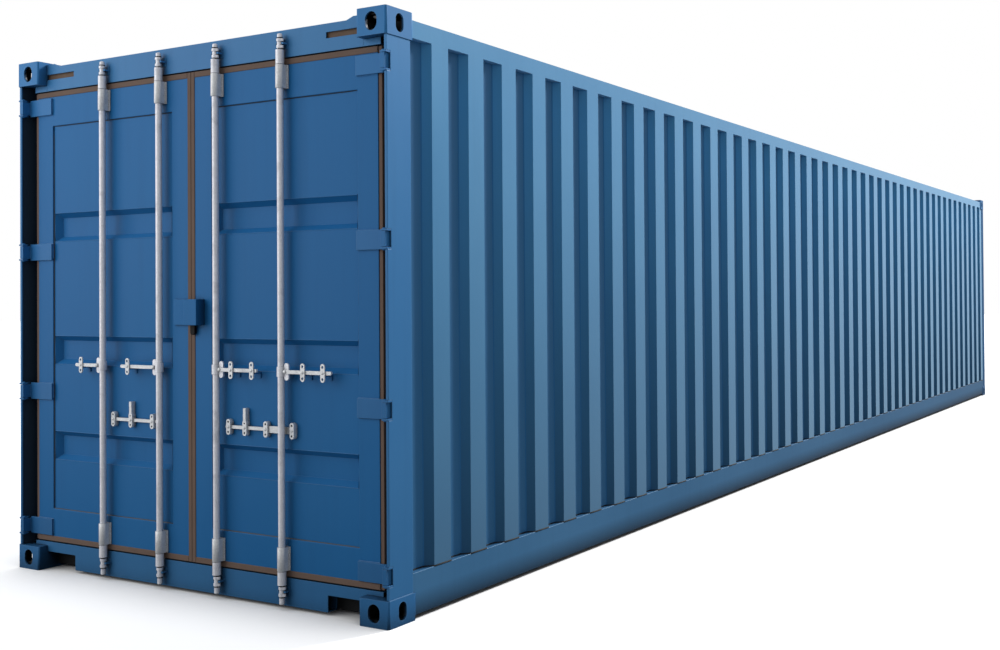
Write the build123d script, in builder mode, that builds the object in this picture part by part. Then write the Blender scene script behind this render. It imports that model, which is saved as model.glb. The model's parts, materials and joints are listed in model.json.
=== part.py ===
from build123d import *
import os

os.makedirs("parts", exist_ok=True)

# All sizes are millimetres. X runs across the doors, Y runs from the doors to the closed end, Z is up.
# Left and right are as seen by someone facing the doors. "Inset" is measured in from a side face,
# "depth" is measured in from the door-end face, "set-in" is measured in from the closed-end face.

# Overall envelope
length = 12192.0
width = 2438.0
height = 2591.0
half_length = length / 2
half_width = width / 2

# Corner castings
casting_length = 178.0
casting_width = 162.0
casting_height = 118.0
casting_plate = 28.5
casting_wall = 16.0
casting_corner = 10.0
slot_length = 124.0
slot_width = 63.5
slot_from_end = 103.5
slot_from_side = 89.5
face_hole_height = 79.5
end_hole_width = 63.5
side_hole_width = 51.0
casting_top_base = height - casting_height
casting_inner = half_width - casting_width

# Steel and deck thicknesses
post_plate = 6.0
frame_plate = 5.0
rail_plate = 4.0
sheet = 2.0
deck_thickness = 28.0

# Heights of the frame
base_clearance = 14.0
bottom_rail_base = 20.0
bottom_rail_height = 180.0
roof_drop = 29.0
top_rail_height = 76.0
floor_top = 172.0
bottom_rail_top = bottom_rail_base + bottom_rail_height
top_rail_top = height - roof_drop
top_rail_base = top_rail_top - top_rail_height
floor_base = floor_top - deck_thickness

# Door-end posts: an outer flange with a front lip, and a box behind the door that forms the jamb
post_inset = 3.0
flange_front = 8.0
lip_width = 14.0
lip_depth = 8.0
jamb_front = 111.0
jamb_depth = 51.0
jamb_inset = 106.0
post_end = jamb_front + jamb_depth

# Closed-end posts: an angle with two return lips
end_post_size = 110.0
end_post_lip = 46.0

# Side walls
wall_inset = 7.0
corrugation_count = 44
corrugation_depth = 36.0
corrugation_outer_share = 0.44
corrugation_slope_share = 0.13
end_wall_count = 8
end_wall_depth = 40.0

# Rails
top_rail_width = 60.0
bottom_rail_inset = 5.0
bottom_rail_top_flange = 50.0
bottom_rail_low_flange = 35.0

# Roof
roof_edge = 14.0
roof_rib_count = 55
roof_rib_height = 14.0
roof_rib_share = 0.50
roof_rib_margin = 60.0
roof_rib_taper = 40.0

# Underframe
cross_member_count = 27
cross_member_flange = 45.0
tunnel_width = 1029.0
tunnel_length = 3300.0
tunnel_plate = 6.0
tunnel_top = floor_base
tunnel_half = tunnel_width / 2

# Door leaves
door_inset = 89.0
door_gap = 36.0
door_base = 164.0
door_head_drop = 174.0
door_face = 54.0
leaf_depth = 46.0
stile_width = 115.0
door_top_rail = 155.0
door_low_rail = 145.0
panel_set_back = 8.0
panel_face = door_face + panel_set_back
recess_depth = 30.0
recess_height = 145.0
recess_slope = 40.0
recess_margin = 8.0
recess_top_shares = (0.2721, 0.4593, 0.7005)
recess_tops = [share * height for share in recess_top_shares]
door_top = height - door_head_drop
door_outer = half_width - door_inset
door_inner = door_gap / 2
door_back = door_face + leaf_depth

# Door gaskets
gasket_reach = 20.0
gasket_gap = 6.0
gasket_set_back = 3.0
gasket_depth = 24.0
gasket_front = door_face + gasket_set_back
gasket_inner = gasket_gap / 2

# Header and sill across the door end
frame_face = 50.0
door_edge_gap = 26.0
header_overlap = 12.0
header_end_inset = 70.0
header_slot_length = 213.0
header_slot_height = 26.0
header_slot_drop = 61.0
gusset_length = 110.0
gusset_flat = 60.0
gusset_rise = 18.0
sill_cut_length = 217.0
sill_cut_height = 74.0
header_base = door_top + door_edge_gap
header_lip = door_top - header_overlap
header_slot_base = top_rail_top - header_slot_drop
header_slot_top = header_slot_base + header_slot_height
sill_top = door_base - door_edge_gap
frame_end = half_width - header_end_inset

# Hinges
pin_inset = 24.0
pin_depth = 14.0
pin_radius = 7.0
pin_clearance = 0.5
knuckle_radius = 12.0
blade_thickness = 10.0
blade_end_inset = 205.0
hinge_height = 84.0
hinge_level_shares = (0.083, 0.3493, 0.6245, 0.9116)
lug_gap = 1.0
lug_height = 8.0
lug_end = 60.0
lug_front = 2.0
hinge_notch = 31.0
hinge_levels = [share * height for share in hinge_level_shares]
knuckle_height = hinge_height - 2 * (lug_gap + lug_height)

# Locking bars
outer_bar = 595.0
inner_bar = 190.0
bar_depth = 26.0
bar_radius = 15.0
bar_base = 24.0
bar_top_drop = 46.0
stem_radius = 12.0
stem_chamfer = 4.0
sleeve_radius = 19.0
sleeve_gap = 2.0
bar_top = height - bar_top_drop

# Cams on the stems at the bar ends, and the forked keepers they sit in
cam_radius = 15.0
cam_nose_radius = 7.0
cam_nose_reach = 14.0
cam_height = 12.0
cam_step = 30.0
cam_clearance = 7.0
fork_height = 8.0
low_cam_base = 62.0
top_cam_drop = 111.0
keeper_plate = 4.0
keeper_half_width = 26.0
fork_front = 20.0
fork_slot_radius = 15.0
top_cam_base = height - top_cam_drop
keeper_height = cam_step + cam_height

# Bearing brackets that hold the bars on the doors
guide_radius = 20.0
guide_clearance = 0.6
guide_flange = 6.0
guide_half_width = 26.0
guide_height = 105.0
top_guide_drop = 114.0
low_guide_rise = 8.0
top_guide_base = door_top - top_guide_drop
low_guide_base = door_base + low_guide_rise

# Handles, hinged on a hub on each bar
handle_level = 1050.0
hub_radius = 19.0
hub_height = 44.0
hub_ear_height = 76.0
hub_ear_width = 26.0
hub_ear_thickness = 8.0
hub_web_height = 30.0
pivot_reach = 32.0
pivot_radius = 6.0
pivot_clearance = 0.4
arm_front = 14.0
arm_thickness = 10.0
arm_height = 16.0
arm_gap = 0.6
tag_thickness = 6.0
tag_width = 24.0
tag_height = 80.0
tag_hole_radius = 6.0
tag_hole_rise = 26.0
left_outer_handle_end = 187.0
left_outer_tags = (144.0,)
left_inner_handle_end = 257.0
left_inner_tags = (206.0,)
right_inner_handle_end = 262.0
right_inner_tags = (110.0, 240.0)
right_outer_handle_end = 298.0
right_outer_tags = (142.0, 258.0)

# Cradles on the doors, under the handles
cradle_width = 18.0
cradle_front = 18.0
cradle_ledge = 6.0
cradle_gap = 1.0
cradle_drop = 26.0

# Lower seal bars, fixed to the doors
seal_level = 788.0
seal_front = 48.0
seal_thickness = 10.0
seal_height = 15.0
seal_plate_height = 30.0
seal_lug_front = 40.0
seal_lug_width = 24.0
seal_lug_height = 72.0
seal_hole_radius = 5.0
seal_hole_rise = 23.0
seal_latch_width = 16.0
seal_latch_height = 89.0
left_seal_span = (225.0, 565.0)
left_seal_lugs = (262.0, 540.0)
left_seal_latch = 414.0
left_seal_plate = (398.0, 430.0)
right_seal_span = (225.0, 655.0)
right_seal_lugs = (250.0, 483.0, 642.0)
right_seal_latch = 353.0
right_seal_plate = (483.0, 642.0)

# Lock boxes at the meeting stiles
lock_base = 1251.0
lock_height = 121.0
lock_reach = 116.0
lock_plate = 12.0
lock_plate_edge = 6.0
lock_box_depth = 32.0
lock_box_wall = 5.0
tongue_width = 28.0
tongue_drop = 46.0
tongue_front = 37.0
tongue_thickness = 10.0


def at(side, inset, depth):
    """Plan point at an inset from a side face and a depth in from the door end; side is -1 or 1."""
    return (side * (half_width - inset), depth - half_length)


def corrugated_outline(start, end, count, outer_share, slope_share, depth):
    """Zigzag sheet section as (run, depth) points: each pitch is slope in, floor, slope out, outer flat."""
    pitch = (end - start) / count
    slope = pitch * slope_share
    floor_run = pitch * (1 - outer_share - 2 * slope_share)
    front = []
    for index in range(count):
        origin = start + index * pitch
        front.append((origin, 0.0))
        front.append((origin + slope, depth))
        front.append((origin + slope + floor_run, depth))
        front.append((origin + 2 * slope + floor_run, 0.0))
    front.append((end, 0.0))
    back = [(run, level + sheet) for run, level in reversed(front)]
    return front + back


# Corner castings: hollow boxes with a slot above or below and one hole in each outer face
with BuildPart() as bottom_castings:
    for side in (-1, 1):
        for end in (-1, 1):
            centre = (side * (half_width - casting_width / 2), end * (half_length - casting_length / 2))
            with BuildSketch(Plane.XY):
                with Locations(centre):
                    RectangleRounded(casting_width, casting_length, casting_corner)
            extrude(amount=casting_height)
            with BuildSketch(Plane.XY.offset(casting_plate)):
                with Locations(centre):
                    Rectangle(casting_width - 2 * casting_wall, casting_length - 2 * casting_wall)
            extrude(amount=casting_height - 2 * casting_plate, mode=Mode.SUBTRACT)
            with BuildSketch(Plane.XY):
                with Locations((side * (half_width - slot_from_side), end * (half_length - slot_from_end))):
                    SlotOverall(slot_length, slot_width, rotation=90)
            extrude(amount=casting_plate, mode=Mode.SUBTRACT)
            with BuildSketch(Plane.YZ.offset(side * half_width)):
                with Locations((centre[1], casting_height / 2)):
                    SlotOverall(face_hole_height, side_hole_width, rotation=90)
            extrude(amount=-side * casting_wall, mode=Mode.SUBTRACT)
            with BuildSketch(Plane.XZ.offset(-end * half_length)):
                with Locations((centre[0], casting_height / 2)):
                    SlotOverall(face_hole_height, end_hole_width, rotation=90)
            extrude(amount=end * casting_wall, mode=Mode.SUBTRACT)
bottom_castings.part.label = "bottom_castings"
export_step(bottom_castings.part, "parts/bottom_castings.step")

with BuildPart() as top_castings:
    mirror(bottom_castings.part, about=Plane.XY.offset(height / 2))
top_castings.part.label = "top_castings"
export_step(top_castings.part, "parts/top_castings.step")

# Door-end posts
with BuildPart() as left_door_post:
    with BuildSketch(Plane.XY.offset(casting_height)):
        with BuildLine():
            Polyline(
                at(-1, post_inset, flange_front),
                at(-1, post_inset + lip_width, flange_front),
                at(-1, post_inset + lip_width, flange_front + lip_depth),
                at(-1, post_inset + post_plate, flange_front + lip_depth),
                at(-1, post_inset + post_plate, jamb_front),
                at(-1, jamb_inset, jamb_front),
                at(-1, jamb_inset, post_end),
                at(-1, post_inset, post_end),
                close=True,
            )
        make_face()
        with BuildLine():
            Polyline(
                at(-1, post_inset + post_plate, jamb_front + post_plate),
                at(-1, jamb_inset - post_plate, jamb_front + post_plate),
                at(-1, jamb_inset - post_plate, post_end - post_plate),
                at(-1, post_inset + post_plate, post_end - post_plate),
                close=True,
            )
        make_face(mode=Mode.SUBTRACT)
    extrude(amount=casting_top_base - casting_height)
    for level in hinge_levels:
        with BuildSketch(Plane.XY.offset(level - hinge_height / 2)):
            with Locations(at(-1, post_inset + lip_width / 2, hinge_notch / 2)):
                Rectangle(lip_width, hinge_notch)
        extrude(amount=hinge_height, mode=Mode.SUBTRACT)
left_door_post.part.label = "left_door_post"
export_step(left_door_post.part, "parts/left_door_post.step")

with BuildPart() as right_door_post:
    mirror(left_door_post.part, about=Plane.YZ)
right_door_post.part.label = "right_door_post"
export_step(right_door_post.part, "parts/right_door_post.step")

# Closed-end posts
with BuildPart() as left_end_post:
    with BuildSketch(Plane.XY.offset(casting_height)):
        inner_face = post_inset + post_plate
        lip_face = end_post_size - post_plate
        outline = (
            (post_inset, post_inset),
            (end_post_size, post_inset),
            (end_post_size, end_post_lip),
            (lip_face, end_post_lip),
            (lip_face, inner_face),
            (inner_face, inner_face),
            (inner_face, lip_face),
            (end_post_lip, lip_face),
            (end_post_lip, end_post_size),
            (post_inset, end_post_size),
        )
        with BuildLine():
            Polyline(*[at(-1, inset, length - set_in) for inset, set_in in outline], close=True)
        make_face()
    extrude(amount=casting_top_base - casting_height)
left_end_post.part.label = "left_end_post"
export_step(left_end_post.part, "parts/left_end_post.step")

with BuildPart() as right_end_post:
    mirror(left_end_post.part, about=Plane.YZ)
right_end_post.part.label = "right_end_post"
export_step(right_end_post.part, "parts/right_end_post.step")

# Blocks that clear the castings out of pieces that run past them
with BuildPart() as casting_blocks:
    for side in (-1, 1):
        for end in (-1, 1):
            for level in (0, casting_top_base):
                with BuildSketch(Plane.XY.offset(level)):
                    with Locations(
                        (side * (half_width - casting_width / 2), end * (half_length - casting_length / 2))
                    ):
                        Rectangle(casting_width, casting_length)
                extrude(amount=casting_height)

# Section of the door header from post to post: a box with a lip that hangs behind the doors
with BuildPart() as header_section:
    with BuildSketch(Plane.YZ.offset(-frame_end)):
        with BuildLine():
            Polyline(
                (frame_face - half_length, header_base),
                (frame_face - half_length, top_rail_top),
                (jamb_front - half_length, top_rail_top),
                (jamb_front - half_length, header_lip),
                (jamb_front - frame_plate - half_length, header_lip),
                (jamb_front - frame_plate - half_length, header_base),
                close=True,
            )
        make_face()
        with BuildLine():
            Polyline(
                (frame_face + frame_plate - half_length, header_base + frame_plate),
                (frame_face + frame_plate - half_length, top_rail_top - frame_plate),
                (jamb_front - frame_plate - half_length, top_rail_top - frame_plate),
                (jamb_front - frame_plate - half_length, header_base + frame_plate),
                close=True,
            )
        make_face(mode=Mode.SUBTRACT)
    extrude(amount=2 * frame_end)
    add(casting_blocks.part, mode=Mode.SUBTRACT)

# Stretch of the door end between the castings
with BuildPart() as middle_stretch:
    with BuildSketch(Plane.XY):
        with Locations((0, jamb_front - half_length)):
            Rectangle(2 * casting_inner, 2 * jamb_front)
    extrude(amount=height)

# Door header between the castings, with a plate back to the roof sheet
with BuildPart() as door_header:
    add(header_section.part)
    add(middle_stretch.part, mode=Mode.INTERSECT)
    with BuildSketch(Plane.XY.offset(top_rail_top)):
        with Locations((0, (frame_face + casting_length) / 2 - half_length)):
            Rectangle(2 * casting_inner, casting_length - frame_face)
    extrude(amount=rail_plate)
    with BuildSketch(Plane.XZ.offset(half_length - frame_face)):
        for side in (-1, 1):
            with BuildLine():
                Polyline(
                    (side * casting_inner, top_rail_top),
                    (side * casting_inner, top_rail_top + gusset_rise),
                    (side * (casting_inner - gusset_flat), top_rail_top + gusset_rise),
                    (side * (casting_inner - gusset_length), top_rail_top),
                    close=True,
                )
            make_face()
    extrude(amount=-frame_plate)
    header_slot_middle = (header_slot_base + header_slot_top) / 2
    with BuildSketch(Plane.XZ.offset(half_length - frame_face)):
        for side in (-1, 1):
            with Locations((side * (casting_inner - header_slot_length / 2), header_slot_middle)):
                Rectangle(header_slot_length, header_slot_height)
    extrude(amount=-frame_plate, mode=Mode.SUBTRACT)
door_header.part.label = "door_header"
export_step(door_header.part, "parts/door_header.step")

# Ends of the header section that run under the castings to the posts
with BuildPart() as header_ends:
    add(header_section.part)
    add(middle_stretch.part, mode=Mode.SUBTRACT)
header_ends.part.label = "header_ends"
export_step(header_ends.part, "parts/header_ends.step")

# Door sill: a box section with a threshold plate up to the floor
with BuildPart() as door_sill:
    with BuildSketch(Plane.YZ.offset(-frame_end)):
        with BuildLine():
            Polyline(
                (frame_face - half_length, base_clearance),
                (frame_face - half_length, sill_top),
                (jamb_front - frame_plate - half_length, sill_top),
                (jamb_front - frame_plate - half_length, floor_top),
                (jamb_front - half_length, floor_top),
                (jamb_front - half_length, base_clearance),
                close=True,
            )
        make_face()
        with BuildLine():
            Polyline(
                (frame_face + frame_plate - half_length, base_clearance + frame_plate),
                (frame_face + frame_plate - half_length, sill_top - frame_plate),
                (jamb_front - frame_plate - half_length, sill_top - frame_plate),
                (jamb_front - frame_plate - half_length, base_clearance + frame_plate),
                close=True,
            )
        make_face(mode=Mode.SUBTRACT)
    extrude(amount=2 * frame_end)
    with BuildSketch(Plane.XY.offset(floor_top - frame_plate)):
        with Locations((0, (jamb_front - frame_plate + post_end) / 2 - half_length)):
            Rectangle(2 * (half_width - jamb_inset), post_end - jamb_front + frame_plate)
    extrude(amount=frame_plate)
    add(casting_blocks.part, mode=Mode.SUBTRACT)
    with BuildSketch(Plane.XZ.offset(half_length - frame_face)):
        for side in (-1, 1):
            with Locations(
                (side * (casting_inner - sill_cut_length / 2), base_clearance + sill_cut_height / 2)
            ):
                Rectangle(sill_cut_length, sill_cut_height)
    extrude(amount=-(jamb_front - frame_face), mode=Mode.SUBTRACT)
door_sill.part.label = "door_sill"
export_step(door_sill.part, "parts/door_sill.step")

# Top rails: square tubes between the castings
with BuildPart() as left_top_rail:
    rail_middle = wall_inset + top_rail_width / 2
    with BuildSketch(Plane.XZ.offset(half_length - casting_length)):
        with Locations((rail_middle - half_width, (top_rail_base + top_rail_top) / 2)):
            Rectangle(top_rail_width, top_rail_top - top_rail_base)
            Rectangle(
                top_rail_width - 2 * rail_plate,
                top_rail_top - top_rail_base - 2 * rail_plate,
                mode=Mode.SUBTRACT,
            )
    extrude(amount=-(length - 2 * casting_length))
left_top_rail.part.label = "left_top_rail"
export_step(left_top_rail.part, "parts/left_top_rail.step")

with BuildPart() as right_top_rail:
    mirror(left_top_rail.part, about=Plane.YZ)
right_top_rail.part.label = "right_top_rail"
export_step(right_top_rail.part, "parts/right_top_rail.step")

with BuildPart() as end_top_rail:
    with BuildSketch(Plane.YZ.offset(-casting_inner)):
        with Locations((half_length - rail_middle, (top_rail_base + top_rail_top) / 2)):
            Rectangle(top_rail_width, top_rail_top - top_rail_base)
            Rectangle(
                top_rail_width - 2 * rail_plate,
                top_rail_top - top_rail_base - 2 * rail_plate,
                mode=Mode.SUBTRACT,
            )
    extrude(amount=2 * casting_inner)
    with BuildSketch(Plane.XY.offset(top_rail_top)):
        with Locations((0, half_length - (wall_inset + casting_length) / 2)):
            Rectangle(2 * casting_inner, casting_length - wall_inset)
    extrude(amount=rail_plate)
end_top_rail.part.label = "end_top_rail"
export_step(end_top_rail.part, "parts/end_top_rail.step")

# Bottom rails: channels that open inwards
rail_face = bottom_rail_inset + frame_plate
channel_outline = (
    (bottom_rail_inset, bottom_rail_base),
    (bottom_rail_inset + bottom_rail_low_flange, bottom_rail_base),
    (bottom_rail_inset + bottom_rail_low_flange, bottom_rail_base + frame_plate),
    (rail_face, bottom_rail_base + frame_plate),
    (rail_face, bottom_rail_top - frame_plate),
    (bottom_rail_inset + bottom_rail_top_flange, bottom_rail_top - frame_plate),
    (bottom_rail_inset + bottom_rail_top_flange, bottom_rail_top),
    (bottom_rail_inset, bottom_rail_top),
)
with BuildPart() as left_bottom_rail:
    with BuildSketch(Plane.XZ.offset(half_length - post_end)):
        with BuildLine():
            Polyline(*[(inset - half_width, level) for inset, level in channel_outline], close=True)
        make_face()
    extrude(amount=-(length - post_end - end_post_size))
    add(casting_blocks.part, mode=Mode.SUBTRACT)
left_bottom_rail.part.label = "left_bottom_rail"
export_step(left_bottom_rail.part, "parts/left_bottom_rail.step")

with BuildPart() as right_bottom_rail:
    mirror(left_bottom_rail.part, about=Plane.YZ)
right_bottom_rail.part.label = "right_bottom_rail"
export_step(right_bottom_rail.part, "parts/right_bottom_rail.step")

with BuildPart() as end_bottom_rail:
    end_reach = half_width - end_post_size
    with BuildSketch(Plane.YZ.offset(-end_reach)):
        with BuildLine():
            Polyline(*[(half_length - set_in, level) for set_in, level in channel_outline], close=True)
        make_face()
    extrude(amount=2 * end_reach)
    add(casting_blocks.part, mode=Mode.SUBTRACT)
    with BuildSketch(Plane.XZ.offset(-half_length)):
        with Locations((0, (bottom_rail_base + tunnel_top) / 2)):
            Rectangle(tunnel_width + 2 * tunnel_plate, tunnel_top - bottom_rail_base)
    extrude(amount=bottom_rail_inset + bottom_rail_top_flange, mode=Mode.SUBTRACT)
end_bottom_rail.part.label = "end_bottom_rail"
export_step(end_bottom_rail.part, "parts/end_bottom_rail.step")

# Corrugated side walls, standing on the bottom rails under the top rails
with BuildPart() as left_side_wall:
    with BuildSketch(Plane.XY.offset(bottom_rail_top)):
        section = corrugated_outline(
            post_end,
            length - end_post_size,
            corrugation_count,
            corrugation_outer_share,
            corrugation_slope_share,
            corrugation_depth,
        )
        with BuildLine():
            Polyline(*[at(-1, wall_inset + level, run) for run, level in section], close=True)
        make_face()
    extrude(amount=top_rail_base - bottom_rail_top)
    add(casting_blocks.part, mode=Mode.SUBTRACT)
left_side_wall.part.label = "left_side_wall"
export_step(left_side_wall.part, "parts/left_side_wall.step")

with BuildPart() as right_side_wall:
    mirror(left_side_wall.part, about=Plane.YZ)
right_side_wall.part.label = "right_side_wall"
export_step(right_side_wall.part, "parts/right_side_wall.step")

# Corrugated wall at the closed end
with BuildPart() as end_wall:
    with BuildSketch(Plane.XY.offset(bottom_rail_top)):
        section = corrugated_outline(
            -end_reach,
            end_reach,
            end_wall_count,
            corrugation_outer_share,
            corrugation_slope_share,
            end_wall_depth,
        )
        with BuildLine():
            Polyline(*[(run, half_length - wall_inset - level) for run, level in section], close=True)
        make_face()
    extrude(amount=top_rail_base - bottom_rail_top)
    add(casting_blocks.part, mode=Mode.SUBTRACT)
end_wall.part.label = "end_wall"
export_step(end_wall.part, "parts/end_wall.step")

# Roof sheet with pressed cross ribs
with BuildPart() as roof:
    roof_start = casting_length - half_length
    roof_end = half_length - casting_length
    roof_half_width = half_width - roof_edge
    rib_pitch = (roof_end - roof_start - 2 * roof_rib_margin) / roof_rib_count
    rib_foot = rib_pitch * roof_rib_share
    rib_span = 2 * (roof_half_width - top_rail_width)
    roof_middle = (roof_start + roof_end) / 2
    with BuildSketch(Plane.XY.offset(top_rail_top)):
        with Locations((0, roof_middle)):
            Rectangle(2 * roof_half_width, roof_end - roof_start)
    extrude(amount=sheet)
    with BuildSketch(Plane.XY.offset(top_rail_top + sheet)):
        with Locations((0, roof_middle)):
            with GridLocations(0, rib_pitch, 1, roof_rib_count):
                Rectangle(rib_span, rib_foot)
    extrude(amount=roof_rib_height, taper=roof_rib_taper)
    with BuildSketch(Plane.XY.offset(top_rail_top)):
        with Locations((0, roof_middle)):
            with GridLocations(0, rib_pitch, 1, roof_rib_count):
                Rectangle(rib_span, rib_foot)
    extrude(amount=roof_rib_height, taper=roof_rib_taper, mode=Mode.SUBTRACT)
roof.part.label = "roof"
export_step(roof.part, "parts/roof.step")

# Timber floor between the bottom rails
with BuildPart() as floor_deck:
    deck_half = half_width - bottom_rail_inset - bottom_rail_top_flange
    deck_start = post_end - half_length
    deck_step = half_length - end_post_size
    deck_end = half_length - rail_face
    with BuildSketch(Plane.XY.offset(floor_base)):
        with Locations((0, (deck_start + deck_step) / 2)):
            Rectangle(2 * deck_half, deck_step - deck_start)
        with Locations((0, (deck_step + deck_end) / 2)):
            Rectangle(2 * end_reach, deck_end - deck_step)
    extrude(amount=deck_thickness)
floor_deck.part.label = "floor_deck"
export_step(floor_deck.part, "parts/floor_deck.step")

# Cross members under the floor: channels, cut short beside the tunnel
with BuildPart() as cross_members:
    member_base = bottom_rail_base + frame_plate
    member_half = half_width - rail_face
    member_start = post_end - half_length
    member_pitch = (length - post_end - end_post_size) / (cross_member_count + 1)
    tunnel_start = half_length - tunnel_length
    for index in range(cross_member_count):
        member_y = member_start + (index + 1) * member_pitch
        with BuildSketch(Plane.YZ.offset(-member_half)):
            with BuildLine():
                Polyline(
                    (member_y, member_base),
                    (member_y + cross_member_flange, member_base),
                    (member_y + cross_member_flange, member_base + rail_plate),
                    (member_y + rail_plate, member_base + rail_plate),
                    (member_y + rail_plate, floor_base - rail_plate),
                    (member_y + cross_member_flange, floor_base - rail_plate),
                    (member_y + cross_member_flange, floor_base),
                    (member_y, floor_base),
                    close=True,
                )
            make_face()
        if member_y + cross_member_flange < tunnel_start:
            extrude(amount=2 * member_half)
        else:
            extrude(amount=member_half - tunnel_half - tunnel_plate)
            with BuildSketch(Plane.YZ.offset(tunnel_half + tunnel_plate)):
                with BuildLine():
                    Polyline(
                        (member_y, member_base),
                        (member_y + cross_member_flange, member_base),
                        (member_y + cross_member_flange, member_base + rail_plate),
                        (member_y + rail_plate, member_base + rail_plate),
                        (member_y + rail_plate, floor_base - rail_plate),
                        (member_y + cross_member_flange, floor_base - rail_plate),
                        (member_y + cross_member_flange, floor_base),
                        (member_y, floor_base),
                        close=True,
                    )
                make_face()
            extrude(amount=member_half - tunnel_half - tunnel_plate)
cross_members.part.label = "cross_members"
export_step(cross_members.part, "parts/cross_members.step")

# Tunnel for the trailer's raised front, under the closed end
with BuildPart() as tunnel:
    with BuildSketch(Plane.XZ.offset(-(half_length - bottom_rail_inset))):
        with Locations((0, (bottom_rail_base + tunnel_top) / 2)):
            Rectangle(tunnel_width + 2 * tunnel_plate, tunnel_top - bottom_rail_base)
        with Locations((0, (bottom_rail_base + tunnel_top - tunnel_plate) / 2)):
            Rectangle(tunnel_width, tunnel_top - tunnel_plate - bottom_rail_base, mode=Mode.SUBTRACT)
    extrude(amount=tunnel_length - bottom_rail_inset)
tunnel.part.label = "tunnel"
export_step(tunnel.part, "parts/tunnel.step")

# Hinge lugs with their fixed pins, four a side
with BuildPart() as left_hinge_lugs:
    half_hinge = hinge_height / 2
    for level in hinge_levels:
        for base in (level - half_hinge, level + half_hinge - lug_height):
            with BuildSketch(Plane.XY.offset(base)):
                with BuildLine():
                    Polyline(
                        at(-1, post_inset, lug_front),
                        at(-1, pin_inset + knuckle_radius, lug_front),
                        at(-1, pin_inset + knuckle_radius, pin_depth + knuckle_radius),
                        at(-1, post_inset + post_plate, lug_end),
                        at(-1, post_inset + post_plate, hinge_notch),
                        at(-1, post_inset, hinge_notch),
                        close=True,
                    )
                make_face()
            extrude(amount=lug_height)
        with BuildSketch(Plane.XY.offset(level - half_hinge)):
            with Locations(at(-1, pin_inset, pin_depth)):
                Circle(pin_radius)
        extrude(amount=hinge_height)
left_hinge_lugs.part.label = "left_hinge_lugs"
export_step(left_hinge_lugs.part, "parts/left_hinge_lugs.step")

with BuildPart() as right_hinge_lugs:
    mirror(left_hinge_lugs.part, about=Plane.YZ)
right_hinge_lugs.part.label = "right_hinge_lugs"
export_step(right_hinge_lugs.part, "parts/right_hinge_lugs.step")

# Forked keepers on the header and the sill, one for each cam
with BuildPart() as cam_keepers:
    for cam_base in (low_cam_base, top_cam_base):
        for bar_x in (-outer_bar, -inner_bar, inner_bar, outer_bar):
            with BuildSketch(Plane.XY.offset(cam_base)):
                with Locations((bar_x, frame_face - keeper_plate / 2 - half_length)):
                    Rectangle(2 * keeper_half_width, keeper_plate)
            extrude(amount=keeper_height)
            with BuildSketch(Plane.XY.offset(cam_base + (keeper_height - fork_height) / 2)):
                with Locations((bar_x, (fork_front + frame_face - keeper_plate) / 2 - half_length)):
                    Rectangle(2 * keeper_half_width, frame_face - keeper_plate - fork_front)
                with Locations((bar_x, bar_depth - half_length)):
                    Circle(fork_slot_radius, mode=Mode.SUBTRACT)
                with Locations((bar_x, (fork_front + bar_depth) / 2 - half_length)):
                    Rectangle(2 * fork_slot_radius, bar_depth - fork_front, mode=Mode.SUBTRACT)
            extrude(amount=fork_height)
cam_keepers.part.label = "cam_keepers"
export_step(cam_keepers.part, "parts/cam_keepers.step")

# Door frames: stiles and rails round an open middle
opening_outer = door_outer - stile_width
opening_inner = door_inner + stile_width
opening_base = door_base + door_low_rail
opening_top = door_top - door_top_rail
leaf_middle = ((door_outer + door_inner) / 2, (door_base + door_top) / 2)
opening_middle = ((opening_outer + opening_inner) / 2, (opening_base + opening_top) / 2)
with BuildPart() as left_door_frame:
    with BuildSketch(Plane.XZ.offset(half_length - door_face)):
        with Locations((-leaf_middle[0], leaf_middle[1])):
            Rectangle(door_outer - door_inner, door_top - door_base)
        with Locations((-opening_middle[0], opening_middle[1])):
            Rectangle(opening_outer - opening_inner, opening_top - opening_base, mode=Mode.SUBTRACT)
    extrude(amount=-leaf_depth)
left_door_frame.part.label = "left_door_frame"
export_step(left_door_frame.part, "parts/left_door_frame.step")

with BuildPart() as right_door_frame:
    mirror(left_door_frame.part, about=Plane.YZ)
right_door_frame.part.label = "right_door_frame"
export_step(right_door_frame.part, "parts/right_door_frame.step")

# Door panels: thin sheets with three pressed recesses
recess_span = opening_outer - opening_inner - 2 * recess_margin
with BuildPart() as left_door_panel:
    panel_front = Plane.XZ.offset(half_length - panel_face)
    with BuildSketch(panel_front):
        with Locations((-opening_middle[0], opening_middle[1])):
            Rectangle(opening_outer - opening_inner, opening_top - opening_base)
    extrude(amount=-sheet)
    for recess_top in recess_tops:
        recess_middle = (-opening_middle[0], recess_top - recess_height / 2)
        with BuildSketch(Plane.XZ.offset(half_length - panel_face - sheet)):
            with Locations(recess_middle):
                Rectangle(recess_span, recess_height)
        extrude(amount=-recess_depth, taper=recess_slope)
    for recess_top in recess_tops:
        recess_middle = (-opening_middle[0], recess_top - recess_height / 2)
        with BuildSketch(panel_front):
            with Locations(recess_middle):
                Rectangle(recess_span, recess_height)
        extrude(amount=-recess_depth, taper=recess_slope, mode=Mode.SUBTRACT)
left_door_panel.part.label = "left_door_panel"
export_step(left_door_panel.part, "parts/left_door_panel.step")

with BuildPart() as right_door_panel:
    mirror(left_door_panel.part, about=Plane.YZ)
right_door_panel.part.label = "right_door_panel"
export_step(right_door_panel.part, "parts/right_door_panel.step")

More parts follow.
